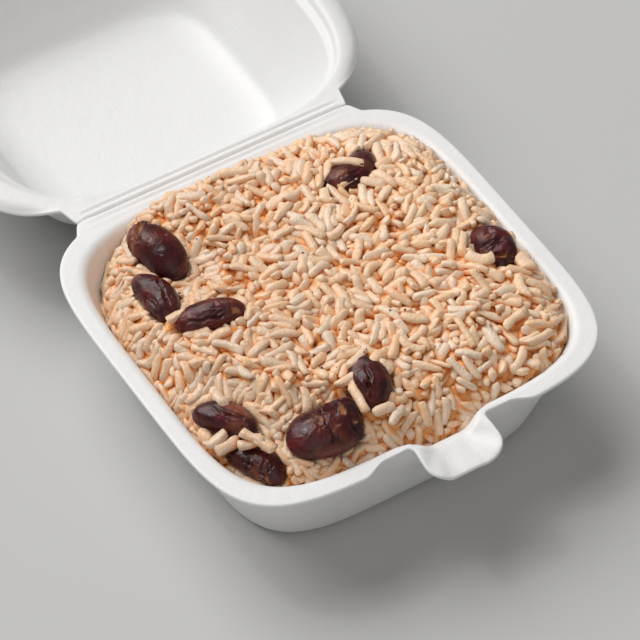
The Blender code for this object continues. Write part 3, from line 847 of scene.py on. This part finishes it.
def mark_place(shape, out, half, bend, u, turn, heading):
    """Distances along and across a mark for all points, far ones for the bean's other side."""
    t = math.radians(turn)
    near = 0.01
    three = kidney(half, bend, np.array((u, u + near, u)), np.array((t, t, t + near)))
    middle, ahead, beside = three[0], three[1] - three[0], three[2] - three[0]
    ahead /= np.linalg.norm(ahead)
    beside -= ahead * np.dot(beside, ahead)
    beside /= np.linalg.norm(beside)
    facing = out @ np.cross(ahead, beside)
    if np.dot(middle, np.cross(ahead, beside)) < 0.0:
        facing = -facing
    c, s = math.cos(math.radians(heading)), math.sin(math.radians(heading))
    offset = shape - middle
    along = offset @ (ahead * c + beside * s)
    across = offset @ (beside * c - ahead * s)
    return np.where(facing > -0.1, along, 1.0), across


def worn(shape, out, half, bend, marks, seed):
    """Lift of the skin, bare flesh and lightness at all points of a bean, from its marks."""
    lift, flesh, pale = (np.zeros(len(shape)) for _ in range(3))
    ragged = np.array([noise.noise(Vector(p) / (1.1 * MM) + Vector((0, seed, 0))) for p in shape])
    for kind, u, turn, heading, length, width, depth in marks:
        a, b = mark_place(shape, out, half, bend, u, turn, heading)
        size = 0.5 * length * MM
        wide = width * MM
        if kind == "crease":
            b = b - 0.35 * MM * np.sin(a / (0.9 * MM) + seed + u) - 0.25 * MM * ragged
            ends = 1.0 - smooth(np.abs(a), 0.55 * size, size)
            groove = np.exp(-(b / wide) ** 2)
            lips = 0.4 * np.exp(-((np.abs(b) - 2.0 * wide) / wide) ** 2)
            lift += depth * MM * ends * (lips - groove)
            continue
        r = np.hypot(a / size, b / (0.5 * wide))
        if kind == "tear":
            r = r * (1.0 + 0.45 * ragged)
            open_skin = 1.0 - smooth(r, 0.85, 1.1)
            lift += depth * MM * (0.6 * np.exp(-((r - 1.25) / 0.2) ** 2) - open_skin)
            flesh = np.maximum(flesh, open_skin)
        elif kind == "stain":
            pale = np.maximum(pale, depth * (1.0 - smooth(r * (1.0 + 0.3 * ragged), 0.6, 1.15)))
        else:
            lift += depth * MM * np.exp(-r ** 2) * (1.0 if kind == "swell" else -1.0)
    return lift, flesh, pale


def make_bean(entry, skin, seed):
    """One bean: a round primitive shaped to a kidney, then wrinkled, creased and torn."""
    name, middle, length, width, height, heading, pitch, roll, bend, _ = entry
    select_none()
    bpy.ops.mesh.primitive_uv_sphere_add(segments=112, ring_count=80, radius=1.0)
    bean = name_piece(name + "_skin")
    unit = points_of(bean)
    half = 0.5 * MM * np.array((length, width, height))
    shape = kidney(half, bend, unit[:, 2], np.arctan2(unit[:, 1], unit[:, 0]))
    out = unit[:, [2, 0, 1]] / half
    out /= np.linalg.norm(out, axis=1, keepdims=True)
    shift = Vector((seed, 0.0, 0.0))
    broad = np.array([noise.noise(Vector(p) / (5.0 * MM) + shift) for p in shape])
    ridges = np.array([abs(noise.noise(Vector(p) / (2.6 * MM) + shift)) for p in shape])
    fine = shape / (0.8 * MM, 3.2 * MM, 3.2 * MM) + (seed, 0.0, 0.0)
    folds = np.array([noise.noise(Vector(p)) for p in fine])
    lift, flesh, pale = worn(shape, out, half, bend, MARKS[name], seed)
    lift += (0.28 * broad - 0.30 * np.exp(-(ridges / 0.045) ** 2) * smooth(broad, -0.1, 0.35)
             + 0.05 * folds * smooth(broad, -0.3, 0.2) - 0.12) * MM
    world = (shape + out * lift[:, None]) @ bean_turn(heading, pitch, roll).T + np.array(middle) * MM
    set_points(bean, world)
    set_attribute(bean, "flesh", flesh)
    set_attribute(bean, "pale", np.maximum(pale, 0.35 * smooth(broad, 0.15, 0.6)))
    bpy.ops.object.shade_smooth()
    bean.data.materials.append(skin)
    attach(bean, "box_base")
    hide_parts(name)
    return bean


# ============================================================ the grains

# Grains that lie over the beans: middle in mm, heading, dive (degrees), length, thickness
OVER_BEANS = (
    ((29.1, 34.6, 49.2), -38, 0, 9.2, 2.6), ((25.6, 29.2, 47.3), -5, 2, 8.7, 2.5),
    ((32.0, 25.2, 46.9), -39, -5, 7.6, 2.6), ((20.5, 26.7, 46.3), -82, -3, 9.6, 2.6),
    ((27.0, 22.5, 46.0), -110, -4, 9.4, 2.6), ((22.9, 36.6, 47.1), -133, -4, 8.0, 2.6),
    ((39.2, 30.4, 46.8), 11, 0, 5.6, 2.7),
    ((43.3, -16.6, 45.3), -39, 0, 7.6, 2.9), ((40.9, -19.4, 44.8), -56, 1, 7.4, 2.8),
    ((43.9, -23.6, 43.9), -52, -11, 5.2, 3.0), ((55.1, -22.9, 42.0), -84, 0, 5.8, 4.0),
    ((42.6, -8.0, 44.6), -125, 2, 8.6, 2.6), ((56.7, -13.2, 42.5), -127, 0, 6.0, 2.6),
    ((-45.4, 11.0, 45.6), -3, 9, 6.2, 2.7),
    ((-49.9, -21.3, 42.3), -89, 5, 6.0, 2.9), ((-49.1, -37.8, 42.1), -55, -5, 6.8, 2.8),
    ((-47.1, -42.0, 41.4), -69, -5, 6.2, 3.3), ((-57.1, -31.0, 38.5), 175, -22, 6.8, 2.8),
    ((-55.2, -34.2, 38.0), -1, 5, 7.0, 3.0), ((-58.8, -27.5, 37.4), -76, 0, 5.3, 2.9),
    ((-50.7, -38.1, 40.0), -20, 4, 5.6, 2.6),
    ((-14.6, -36.0, 45.6), 12, 4, 10.0, 2.7), ((-9.3, -31.6, 46.2), 27, -3, 8.4, 2.6),
    ((-4.8, -34.8, 46.6), 24, -3, 6.6, 2.8), ((-16.4, -43.4, 44.5), -96, -6, 10.0, 2.6),
    ((-3.9, -37.8, 45.6), -64, -8, 5.4, 2.7), ((-11.6, -49.5, 42.6), -8, 0, 6.8, 2.6),
    ((-9.0, -52.4, 40.8), 30, 0, 6.6, 2.5),
)

# Outlines of half a grain as share along it and radius, from its tip to near its middle
GRAIN_KINDS = {
    "whole": ((1.0, 0.0), (0.95, 0.46), (0.83, 0.78), (0.52, 0.98)),
    "blunt": ((0.96, 0.0), (0.99, 0.58), (0.91, 0.90), (0.50, 1.0)),
    "split": ((1.0, 0.0), (0.96, 0.58), (0.84, 0.88), (0.48, 1.0)),
    "broken": ((0.90, 0.0), (0.98, 0.66), (0.92, 0.96), (0.5, 1.0)),
}
GRAIN_RINGS = 8                 # steps from tip to tip

# Places of some scraps of bean skin, in mm; more lie about by chance
FLAKES = ((21.0, -47.5), (-7.5, -31.5), (39.5, -22.0), (31.0, 31.0), (-45.0, -35.0), (12.0, -22.0))
MORE_FLAKES = 12
FLAKE_SIZE = (0.3, 0.65)        # half of their length, in mm
FLAKE_SEED = 5


def grain_template(kind):
    """A cooked grain along X, about one unit in each half-size, as points and faces."""
    select_none()
    bpy.ops.mesh.primitive_uv_sphere_add(segments=10, ring_count=GRAIN_RINGS, radius=1.0)
    grain = name_piece("grain_" + kind)
    unit = points_of(grain)
    fall = np.degrees(np.arccos(np.clip(unit[:, 2], -1, 1)))
    ring = np.rint(fall / (180.0 / GRAIN_RINGS)).astype(int)
    # the far end of a broken grain is still whole
    near = GRAIN_KINDS[kind]
    far = GRAIN_KINDS["whole"] if kind == "broken" else near
    along = [share for share, _ in near] + [0.0] + [-share for share, _ in reversed(far)]
    radius = [width for _, width in near] + [1.0] + [width for _, width in reversed(far)]
    turn = np.arctan2(unit[:, 1], unit[:, 0])
    size = np.array(radius)[ring]
    if kind == "split":
        groove = np.exp(-((turn - 0.5 * math.pi) / 0.45) ** 2) * smooth(size, 0.5, 1.0)
        size = size * (1.0 - 0.42 * groove)
    across, up = np.cos(turn), np.sin(turn)
    points = stack(np.array(along)[ring], size * np.sign(across) * np.abs(across) ** 0.7,
                   size * np.sign(up) * np.abs(up) ** 0.7)
    faces = [tuple(p.vertices) for p in grain.data.polygons]
    bpy.data.objects.remove(grain, do_unlink=True)
    return points, faces


def close_pairs(points, owner, reach):
    """Pairs of points of different grains that lie within reach of each other."""
    cell = np.floor((points - points.min(axis=0)) / reach).astype(np.int64) + 1
    size = cell.max(axis=0) + 2
    key = (cell[:, 0] * size[1] + cell[:, 1]) * size[2] + cell[:, 2]
    order = np.argsort(key, kind="stable")
    ranked = key[order]
    first, second = [], []
    for dx in (0, 1):
        for dy in (-1, 0, 1):
            for dz in (-1, 0, 1):
                if (dx, dy, dz) < (0, 0, 0):
                    continue
                goal = key + (dx * size[1] + dy) * size[2] + dz
                low = np.searchsorted(ranked, goal, "left")
                count = np.searchsorted(ranked, goal, "right") - low
                a = np.repeat(np.arange(len(points)), count)
                begin = np.repeat(low - np.cumsum(count) + count, count)
                b = order[begin + np.arange(count.sum())]
                keep = owner[a] != owner[b]
                if (dx, dy, dz) == (0, 0, 0):
                    keep &= a < b
                first.append(a[keep])
                second.append(b[keep])
    a, b = np.concatenate(first), np.concatenate(second)
    near = np.sum((points[a] - points[b]) ** 2, axis=1) < reach ** 2
    return a[near], b[near]


class Heap:
    """What holds the grains: the wall, the core, the beans and the outline of the heap."""

    def __init__(self):
        self.step = 0.5 * MM
        self.low = np.array((-64.0, -62.0)) * MM
        counts = (257, 249)
        x, y = (low + self.step * np.arange(n) for low, n in zip(self.low, counts))
        gx, gy = np.meshgrid(x, y, indexing="ij")
        self.top = heap_top(gx, gy) + RICE_BUMP * self.bumps(x, y)
        corner = np.exp(-((gx - CORNER_PLACE[0]) / CORNER_SPREAD[0]) ** 2
                        - ((gy - CORNER_PLACE[1]) / CORNER_SPREAD[1]) ** 2)
        self.top -= CORNER_HOLLOW * corner
        self.beans = []
        for _, middle, length, width, height, heading, pitch, roll, bend, bury in BEANS:
            half = 0.5 * MM * np.array((length, width, height))
            turn = bean_turn(heading, pitch, roll)
            middle = np.array(middle) * MM
            self.beans.append((middle, turn, half, bend))
            # the rice stays low beside a bean and rises away from it
            ahead = turn[:, 0]
            run = ((gx - middle[0]) * ahead[0] + (gy - middle[1]) * ahead[1]) / np.hypot(*ahead[:2])
            run = np.clip(run, -half[0], half[0])
            away = np.hypot(gx - middle[0] - run * ahead[0], gy - middle[1] - run * ahead[1])
            limit = middle[2] + run * ahead[2] + bury * MM + 0.45 * np.maximum(away - half[1], 0.0)
            self.top = np.where(away < half[1] + BESIDE_BEANS, np.minimum(self.top, limit), self.top)

    @staticmethod
    def bumps(x, y):
        """Soft unevenness of the outline, worked out at every eighth place and drawn through."""
        every = 8
        shift = Vector((3.1, 7.7, 0.4))
        bump = np.array([[noise.noise(Vector((a, b, 0.0)) / RICE_BUMP_SIZE + shift)
                          for b in y[::every]] for a in x[::every]])
        fx, fy = np.arange(len(x)) / every, np.arange(len(y)) / every
        rows = np.array([np.interp(fy, np.arange(bump.shape[1]), row) for row in bump])
        return np.array([np.interp(fx, np.arange(bump.shape[0]), column) for column in rows.T]).T

    def height(self, x, y):
        """The outline's height above places, read from its grid."""
        fx = np.clip((x - self.low[0]) / self.step, 0, self.top.shape[0] - 1.001)
        fy = np.clip((y - self.low[1]) / self.step, 0, self.top.shape[1] - 1.001)
        i, j = fx.astype(int), fy.astype(int)
        u, v = fx - i, fy - j
        t = self.top
        return ((t[i, j] * (1 - u) + t[i + 1, j] * u) * (1 - v)
                + (t[i, j + 1] * (1 - u) + t[i + 1, j + 1] * u) * v)

    def off_beans(self, p, radius):
        """Move the spheres that reach into a bean out to its skin."""
        for middle, turn, half, bend in self.beans:
            near = np.flatnonzero(np.sum((p - middle) ** 2, axis=1) < (half[0] + 3.0 * MM) ** 2)
            if not len(near):
                continue
            size = half + radius[near, None]
            q = (p[near] - middle) @ turn
            u = q[:, 0] / size[:, 0]
            shift = bend * 2.0 * (u ** 2 - 0.4) * half[1]
            w = np.stack((u, (q[:, 1] + shift) / size[:, 1], q[:, 2] / size[:, 2]), axis=1)
            level = np.linalg.norm(w, axis=1)
            inside = (level < 1.0) & (level > 1e-6)
            w = w[inside] / level[inside, None]
            size = size[inside]
            back = np.stack((w[:, 0] * size[:, 0], w[:, 1] * size[:, 1] - shift[inside],
                             w[:, 2] * size[:, 2]), axis=1)
            p[near[inside]] = back @ turn.T + middle
        return p

    def hold(self, p, radius, slack):
        """Move the spheres back between the wall, the core, the beans and the outline."""
        p = self.off_beans(p, radius)
        lean = wall_lean(p)
        p[:, 1] += lean
        rise = np.minimum(p[:, 2], RICE_WALL_TOP) / RIM_Z
        edge = radius + 0.1 * MM
        hx = BASE_HALF[0] + (WALL_HALF[0] - BASE_HALF[0]) * rise - edge
        hy = BASE_HALF[1] + (WALL_HALF[1] - BASE_HALF[1]) * rise - edge
        cy = BASE_SHIFT * (1.0 - rise)
        x, y = p[:, 0] / hx, (p[:, 1] - cy) / hy
        rho = np.maximum(squareness(x, y), 1.0)
        p[:, 0] = x / rho * hx
        p[:, 1] = y / rho * hy + cy - lean
        top = self.height(p[:, 0], p[:, 1])
        p[:, 2] = np.clip(p[:, 2], top - GRAIN_LAYER + 0.6 * radius, top + slack - radius)
        over = np.maximum(p[:, 2] - RICE_WALL_TOP, 0.0)
        lid = SHUT_LID_Y - SHUT_LID_LEAN * (p[:, 2] - SHUT_LID_Z)
        p[:, 1] = np.minimum(p[:, 1], np.minimum(RICE_LIP - RICE_LEAN * over, lid) - radius)
        return p


def pack_grains(heap, count, steps, seed):
    """Grow and settle grains until they lie against each other like a spooned heap."""
    draw = np.random.RandomState(seed)

    def sizes(mean, spread, least, most):
        return draw.normal(mean, spread, count).clip(least, most) * MM

    length = sizes(*GRAIN_LENGTH)
    short = draw.rand(count) < BROKEN_SHARE
    length[short] *= draw.uniform(0.45, 0.75, short.sum())
    thick = sizes(*GRAIN_THICK)
    ux, uy = draw.uniform(-1, 1, (2, count * 3))
    inside = (np.abs(ux) ** TRAY_POWER + np.abs(uy) ** TRAY_POWER) < 0.99
    x, y = ux[inside][:count] * RICE_HALF[0], uy[inside][:count] * RICE_HALF[1]
    z = heap.height(x, y) - draw.uniform(0.15, 1.0, count) * GRAIN_LAYER
    place = stack(x, y, z)
    heading = draw.uniform(0, math.pi, count)
    dive = draw.normal(0.0, 0.25, count)
    axis = stack(np.cos(heading) * np.cos(dive), np.sin(heading) * np.cos(dive), np.sin(dive))
    for k, (middle, direction, sink, long, wide) in enumerate(OVER_BEANS):
        way, down = math.radians(direction), math.radians(sink)
        place[k] = np.array(middle) * MM
        axis[k] = (math.cos(way) * math.cos(down), math.sin(way) * math.cos(down), math.sin(down))
        length[k], thick[k], short[k] = long * MM, LAID_THICK * wide * MM, False
    laid = len(OVER_BEANS)
    laid_place, laid_axis = place[:laid].copy(), axis[:laid].copy()
    reach = 0.5 * (length - thick)
    offset = np.linspace(-1.0, 1.0, SPHERES)
    weight = offset / np.sum(offset ** 2)
    owner = np.repeat(np.arange(count), SPHERES)
    for step in range(steps):
        share = step / max(steps - 1, 1)
        grown = 0.55 + 0.45 * smooth(share, 0.0, 0.5)
        radius = np.repeat(0.5 * thick * grown, SPHERES)
        chain = place[:, None] + axis[:, None] * (reach[:, None] * offset)[:, :, None]
        p = chain.reshape(-1, 3)
        if step % 5 == 0:
            a, b = close_pairs(p, owner, NEIGHBOUR_REACH)
        gap = p[a] - p[b]
        distance = np.linalg.norm(gap, axis=1) + 1e-9
        over = radius[a] + radius[b] - distance
        hit = over > 0.0
        push = gap[hit] * (0.5 * over[hit] / distance[hit])[:, None]
        for k in range(3):
            p[:, k] += np.bincount(a[hit], push[:, k], len(p)) - np.bincount(b[hit], push[:, k], len(p))
        p[:, 2] -= SETTLE_FALL if share < 0.85 else 0.0
        p = heap.hold(p, radius, RISE_OVER_TOP * smooth(share, 0.5, 0.7))
        chain = p.reshape(-1, SPHERES, 3)
        place = chain.mean(axis=1)
        axis = np.einsum("k,nkj->nj", weight, chain)
        axis /= np.linalg.norm(axis, axis=1, keepdims=True)
        place[:laid], axis[:laid] = laid_place, laid_axis
    return place, axis, length, thick, short, draw


def shaped_grains(points, picked, grains, draw):
    """Points of all the grains of one kind, each bent, kinked and swollen its own way."""
    place, axis, length, thick = (part[picked] for part in grains)
    count = len(place)

    def each(spread):
        return draw.normal(0.0, spread, (count, 1))

    def any_turn():
        return draw.uniform(0.0, 2.0 * math.pi, (count, 1))

    # somewhat flat, and a little larger than they were packed, so that they press together
    flat = draw.uniform(0.70, 0.96, count)
    half = np.stack((0.54 * length, 0.73 * thick, 0.66 * thick * flat), axis=1)
    u = points[None, :, 0]
    turn = np.arctan2(points[:, 2], points[:, 1])[None, :]
    # swollen unevenly, along them and round them
    swell = 1.0 + each(0.07) * u + draw.normal(0.0, 0.075, (count, len(points)))
    swell += 0.07 * np.sin(2.4 * u + any_turn()) + 0.08 * np.sin(5.5 * u + any_turn())
    swell += 0.055 * np.cos(3.0 * turn + 1.5 * u + any_turn())
    swell += 0.055 * np.cos(2.0 * turn - 1.2 * u + any_turn())
    local = points[None] * half[:, None]
    local[..., 1:] *= swell[..., None]
    # with ends that point a little aside, a bow and a kink
    for end in (-1.0, 1.0):
        near_end = smooth(end * u, 0.45, 0.95)
        local[..., 0] += near_end * (local[..., 1] * each(0.38) + local[..., 2] * each(0.32))
    local[..., 1] += each(0.45 * MM) * (u ** 2 - 0.4) + each(0.30 * MM) * (np.abs(u - 0.2) - 0.5)
    local[..., 2] += each(0.28 * MM) * (u ** 2 - 0.4)
    # and lying on their flat side, more or less
    side = np.cross(axis, stack(0.0, 0.0, np.ones(count)) + 0.001)
    side /= np.linalg.norm(side, axis=1, keepdims=True)
    other = np.cross(axis, side)
    roll = draw.normal(0.0, 0.38, count)[:, None]
    across = side * np.cos(roll) + other * np.sin(roll)
    upward = np.cross(axis, across)
    return (place[:, None] + local[..., :1] * axis[:, None] + local[..., 1:2] * across[:, None]
            + local[..., 2:] * upward[:, None])


def painted_gap_shade(clouds):
    """How deep each point lies between its neighbours, for the painted shade of its gaps: 0 on top of
    the heap, 1 in its gaps.

    The tops of the grains are drawn together over the gaps in four steps, and taken back in four.
    """
    cell = 0.4 * MM
    every = np.concatenate([cloud.reshape(-1, 3) for cloud in clouds])
    low = every[:, :2].min(axis=0) - 6.0 * cell
    nx, ny = np.ceil((every[:, :2].max(axis=0) + 6.0 * cell - low) / cell).astype(int) + 1
    top = np.full((nx, ny), -1.0)
    i, j = ((every[:, :2] - low) / cell + 0.5).astype(int).T
    np.maximum.at(top, (i, j), every[:, 2])
    for pick in (np.maximum,) * 4 + (np.minimum,) * 4:
        for axis in (0, 1):
            top = pick(top, pick(np.roll(top, 1, axis), np.roll(top, -1, axis)))
    shares = []
    for cloud in clouds:
        p = cloud.reshape(-1, 3)
        i, j = ((p[:, :2] - low) / cell + 0.5).astype(int).T
        shares.append(np.clip((top[i, j] - p[:, 2]) / GAP_SHADE_DEPTH, 0.0, 1.0))
    return shares


def join_grains(name, faces, along, cloud, depth, material, draw):
    """All the grains of one kind as one mesh."""
    count, size = cloud.shape[:2]
    all_faces = [tuple(v + o for v in f) for o in size * np.arange(count) for f in faces]
    mesh = bpy.data.meshes.new(name)
    mesh.from_pydata(cloud.reshape(-1, 3).tolist(), [], all_faces)
    obj = bpy.data.objects.new(name, mesh)
    bpy.context.scene.collection.objects.link(obj)
    mesh.shade_smooth()
    set_attribute(obj, "tone", np.repeat(draw.beta(2.2, 2.2, count), size))
    # the depth attribute carries the painted shade of the gaps
    set_attribute(obj, "depth", depth)
    set_attribute(obj, "along", np.tile(along, count))
    mesh.materials.append(material)
    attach(obj, "box_base")
    return obj


def make_skin_flakes(clouds, skin):
    """Scraps of bean skin that lie loose on the grains."""
    draw = np.random.RandomState(FLAKE_SEED)
    every = np.concatenate([cloud.reshape(-1, 3) for cloud in clouds])
    spots = [np.array(spot) * MM for spot in FLAKES]
    spots += [draw.uniform(-46.0, 46.0, 2) * MM for _ in range(MORE_FLAKES)]
    parts = []
    for spot in spots:
        near = np.hypot(every[:, 0] - spot[0], every[:, 1] - spot[1]) < 1.1 * MM
        if not near.any():
            continue
        rest = every[near][np.argmax(every[near, 2])]
        select_none()
        bpy.ops.mesh.primitive_uv_sphere_add(segments=12, ring_count=7, radius=1.0)
        flake = name_piece("flake")
        p = points_of(flake)
        size = draw.uniform(*FLAKE_SIZE) * MM
        curl = draw.uniform(0.2, 0.6)
        edge = 1.0 + 0.25 * np.sin(3.0 * np.arctan2(p[:, 1], p[:, 0]) + draw.uniform(0.0, 6.0))
        p = stack(p[:, 0] * size * edge, p[:, 1] * size * 0.6 * edge,
                  (0.16 * p[:, 2] - curl * p[:, 0] ** 2) * size)
        tilt, heading = draw.uniform(-0.5, 0.5), draw.uniform(0.0, 360.0)
        turned = p @ bean_turn(heading, math.degrees(tilt), 0.0).T
        set_points(flake, turned + rest + (0.0, 0.0, 0.1 * MM))
        bpy.ops.object.shade_smooth()
        parts.append(flake)
    select_none()
    for flake in parts:
        flake.select_set(True)
    bpy.context.view_layer.objects.active = parts[0]
    bpy.ops.object.join()
    flakes = name_piece("skin_flakes")
    flakes.data.materials.append(skin)
    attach(flakes, "box_base")


def core_ring(angles, share, z):
    """Points inside the tray's wall line at height z, at a share of the way out to it."""
    p = wall_point(angles, np.minimum(z, CORE_TOP), -0.5 * MM)
    p[:, :2] *= share
    p[:, 2] = z
    return p


def make_core(heap, material):
    """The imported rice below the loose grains, as one closed heap."""
    angles = spaced_angles(RICE_HALF, TRAY_POWER, 240, lambda x, y: np.ones_like(x))
    floor = FOAM + 0.3 * MM
    side_foot, side_top = floor + 3.0 * MM, 34.0 * MM
    rows = []
    for share in np.concatenate((np.linspace(0.02, 0.96, 48), (0.985,))):
        p = core_ring(angles, share, CORE_TOP)
        rough = np.array([noise.noise(Vector(v) / (3.0 * MM)) for v in p])
        edge_drop = 2.5 * MM * smooth(share, 0.88, 0.985)
        z = heap.height(p[:, 0], p[:, 1]) - CORE_DEPTH - edge_drop + 0.8 * MM * rough
        p = core_ring(angles, share, z)
        p[:, 1] -= wall_lean(p)
        rows.append(p)
    top = rows[-1][:, 2]
    for t in (1.0, 0.7, 0.4, 0.15, 0.0):
        z = side_foot + (np.minimum(top, side_top) - side_foot) * t
        rows.append(wall_point(angles, z, -0.3 * MM))
    rows.append(wall_point(angles, floor, -3.0 * MM))
    rows.append(wall_point(angles, floor, -30.0 * MM))
    core = drawn_shell("rice_core", np.array(rows))
    # painted shade: the core has the dark orange-brown of the shaded gaps
    core.data.materials.append(material)
    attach(core, "box_base")
    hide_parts("rice")
    return core


def make_rice(skin):
    """The whole heap: loose grains of four kinds, the core below them and scraps of bean skin."""
    heap = Heap()
    steps = SETTLE_STEPS
    *grains, short, draw = pack_grains(heap, GRAIN_COUNT, steps, GRAIN_SEED)
    names = tuple(GRAIN_KINDS)
    kind = draw.choice(len(KIND_SHARES), len(short), p=KIND_SHARES)
    kind[short] = names.index("broken")
    templates = [grain_template(name) for name in names]
    clouds = [shaped_grains(points, np.flatnonzero(kind == k), grains, draw)
              for k, (points, _) in enumerate(templates)]
    cooked = rice_material()
    for name, (points, faces), cloud, depth in zip(names, templates, clouds, painted_gap_shade(clouds)):
        join_grains("grains_" + name, faces, points[:, 0], cloud, depth, cooked, draw)
    make_core(heap, core_shade_material())
    make_skin_flakes(clouds, skin)


# ============================================================ ground, light and camera

# name, direction that the light comes from, distance, width, watts and colour
LIGHTS = (
    ("window", (-0.22, 0.70, 0.84), 4.0, 4.2, 162.0, (1.0, 0.99, 0.98)),
    ("white_card", (-0.30, -0.70, 0.65), 3.0, 3.0, 14.0, (1.0, 0.97, 0.94)),
    ("clear_pane", (-0.30, 0.50, 0.95), 3.0, 0.35, 6.0, (1.0, 1.0, 1.0)),
)
LIT_PLACE = (0.0, 0.03, 0.03)
SKY_COLOUR = (1.0, 0.99, 0.98, 1.0)
SKY_STRENGTH = 0.21

CAMERA_TARGET = (-0.0078, -0.0084, 0.04)
CAMERA_DISTANCE = 1.1914
CAMERA_AZIMUTH = -31.84         # degrees round from the front, to the left
CAMERA_ELEVATION = 48.37
CAMERA_LENS = 226.2             # on a sensor 36 mm wide


def add_light(name, direction, distance, size, power, colour):
    """A round area light that faces the box."""
    data = bpy.data.lights.new(name, "AREA")
    data.shape = "DISK"
    data.size = size
    data.energy = power
    data.color = colour
    light = bpy.data.objects.new(name, data)
    bpy.context.scene.collection.objects.link(light)
    way = Vector(direction).normalized()
    light.location = Vector(LIT_PLACE) + way * distance
    light.rotation_euler = way.to_track_quat("Z", "Y").to_euler()


def add_camera():
    azimuth, elevation = math.radians(CAMERA_AZIMUTH), math.radians(CAMERA_ELEVATION)
    back = Vector((math.sin(azimuth) * math.cos(elevation),
                   -math.cos(azimuth) * math.cos(elevation), math.sin(elevation)))
    data = bpy.data.cameras.new("camera")
    data.lens = CAMERA_LENS
    data.sensor_width = 36.0
    camera = bpy.data.objects.new("camera", data)
    bpy.context.scene.collection.objects.link(camera)
    camera.location = Vector(CAMERA_TARGET) + back * CAMERA_DISTANCE
    camera.rotation_euler = back.to_track_quat("Z", "Y").to_euler()
    bpy.context.scene.camera = camera


def make_stage():
    """A plain pale ground, a soft sky, a large window behind the box and a card in front."""
    select_none()
    bpy.ops.mesh.primitive_plane_add(size=6.0)
    ground = name_piece("ground")
    ground.data.materials.append(ground_material())

    world = bpy.data.worlds.new("soft_studio")
    world.use_nodes = True
    background = world.node_tree.nodes["Background"]
    background.inputs["Color"].default_value = SKY_COLOUR
    background.inputs["Strength"].default_value = SKY_STRENGTH
    bpy.context.scene.world = world
    bpy.context.scene.view_settings.view_transform = "Standard"
    for light in LIGHTS:
        add_light(*light)
    add_camera()


# ============================================================ the whole box

def main():
    foam = foam_material()
    make_tray(foam)
    make_lid(foam)
    make_hinge_strip(foam)
    skin = bean_material()
    for seed, entry in enumerate(BEANS):
        make_bean(entry, skin, seed * 11.0)
    make_rice(skin)
    make_stage()


main()
bpy.context.view_layer.update()
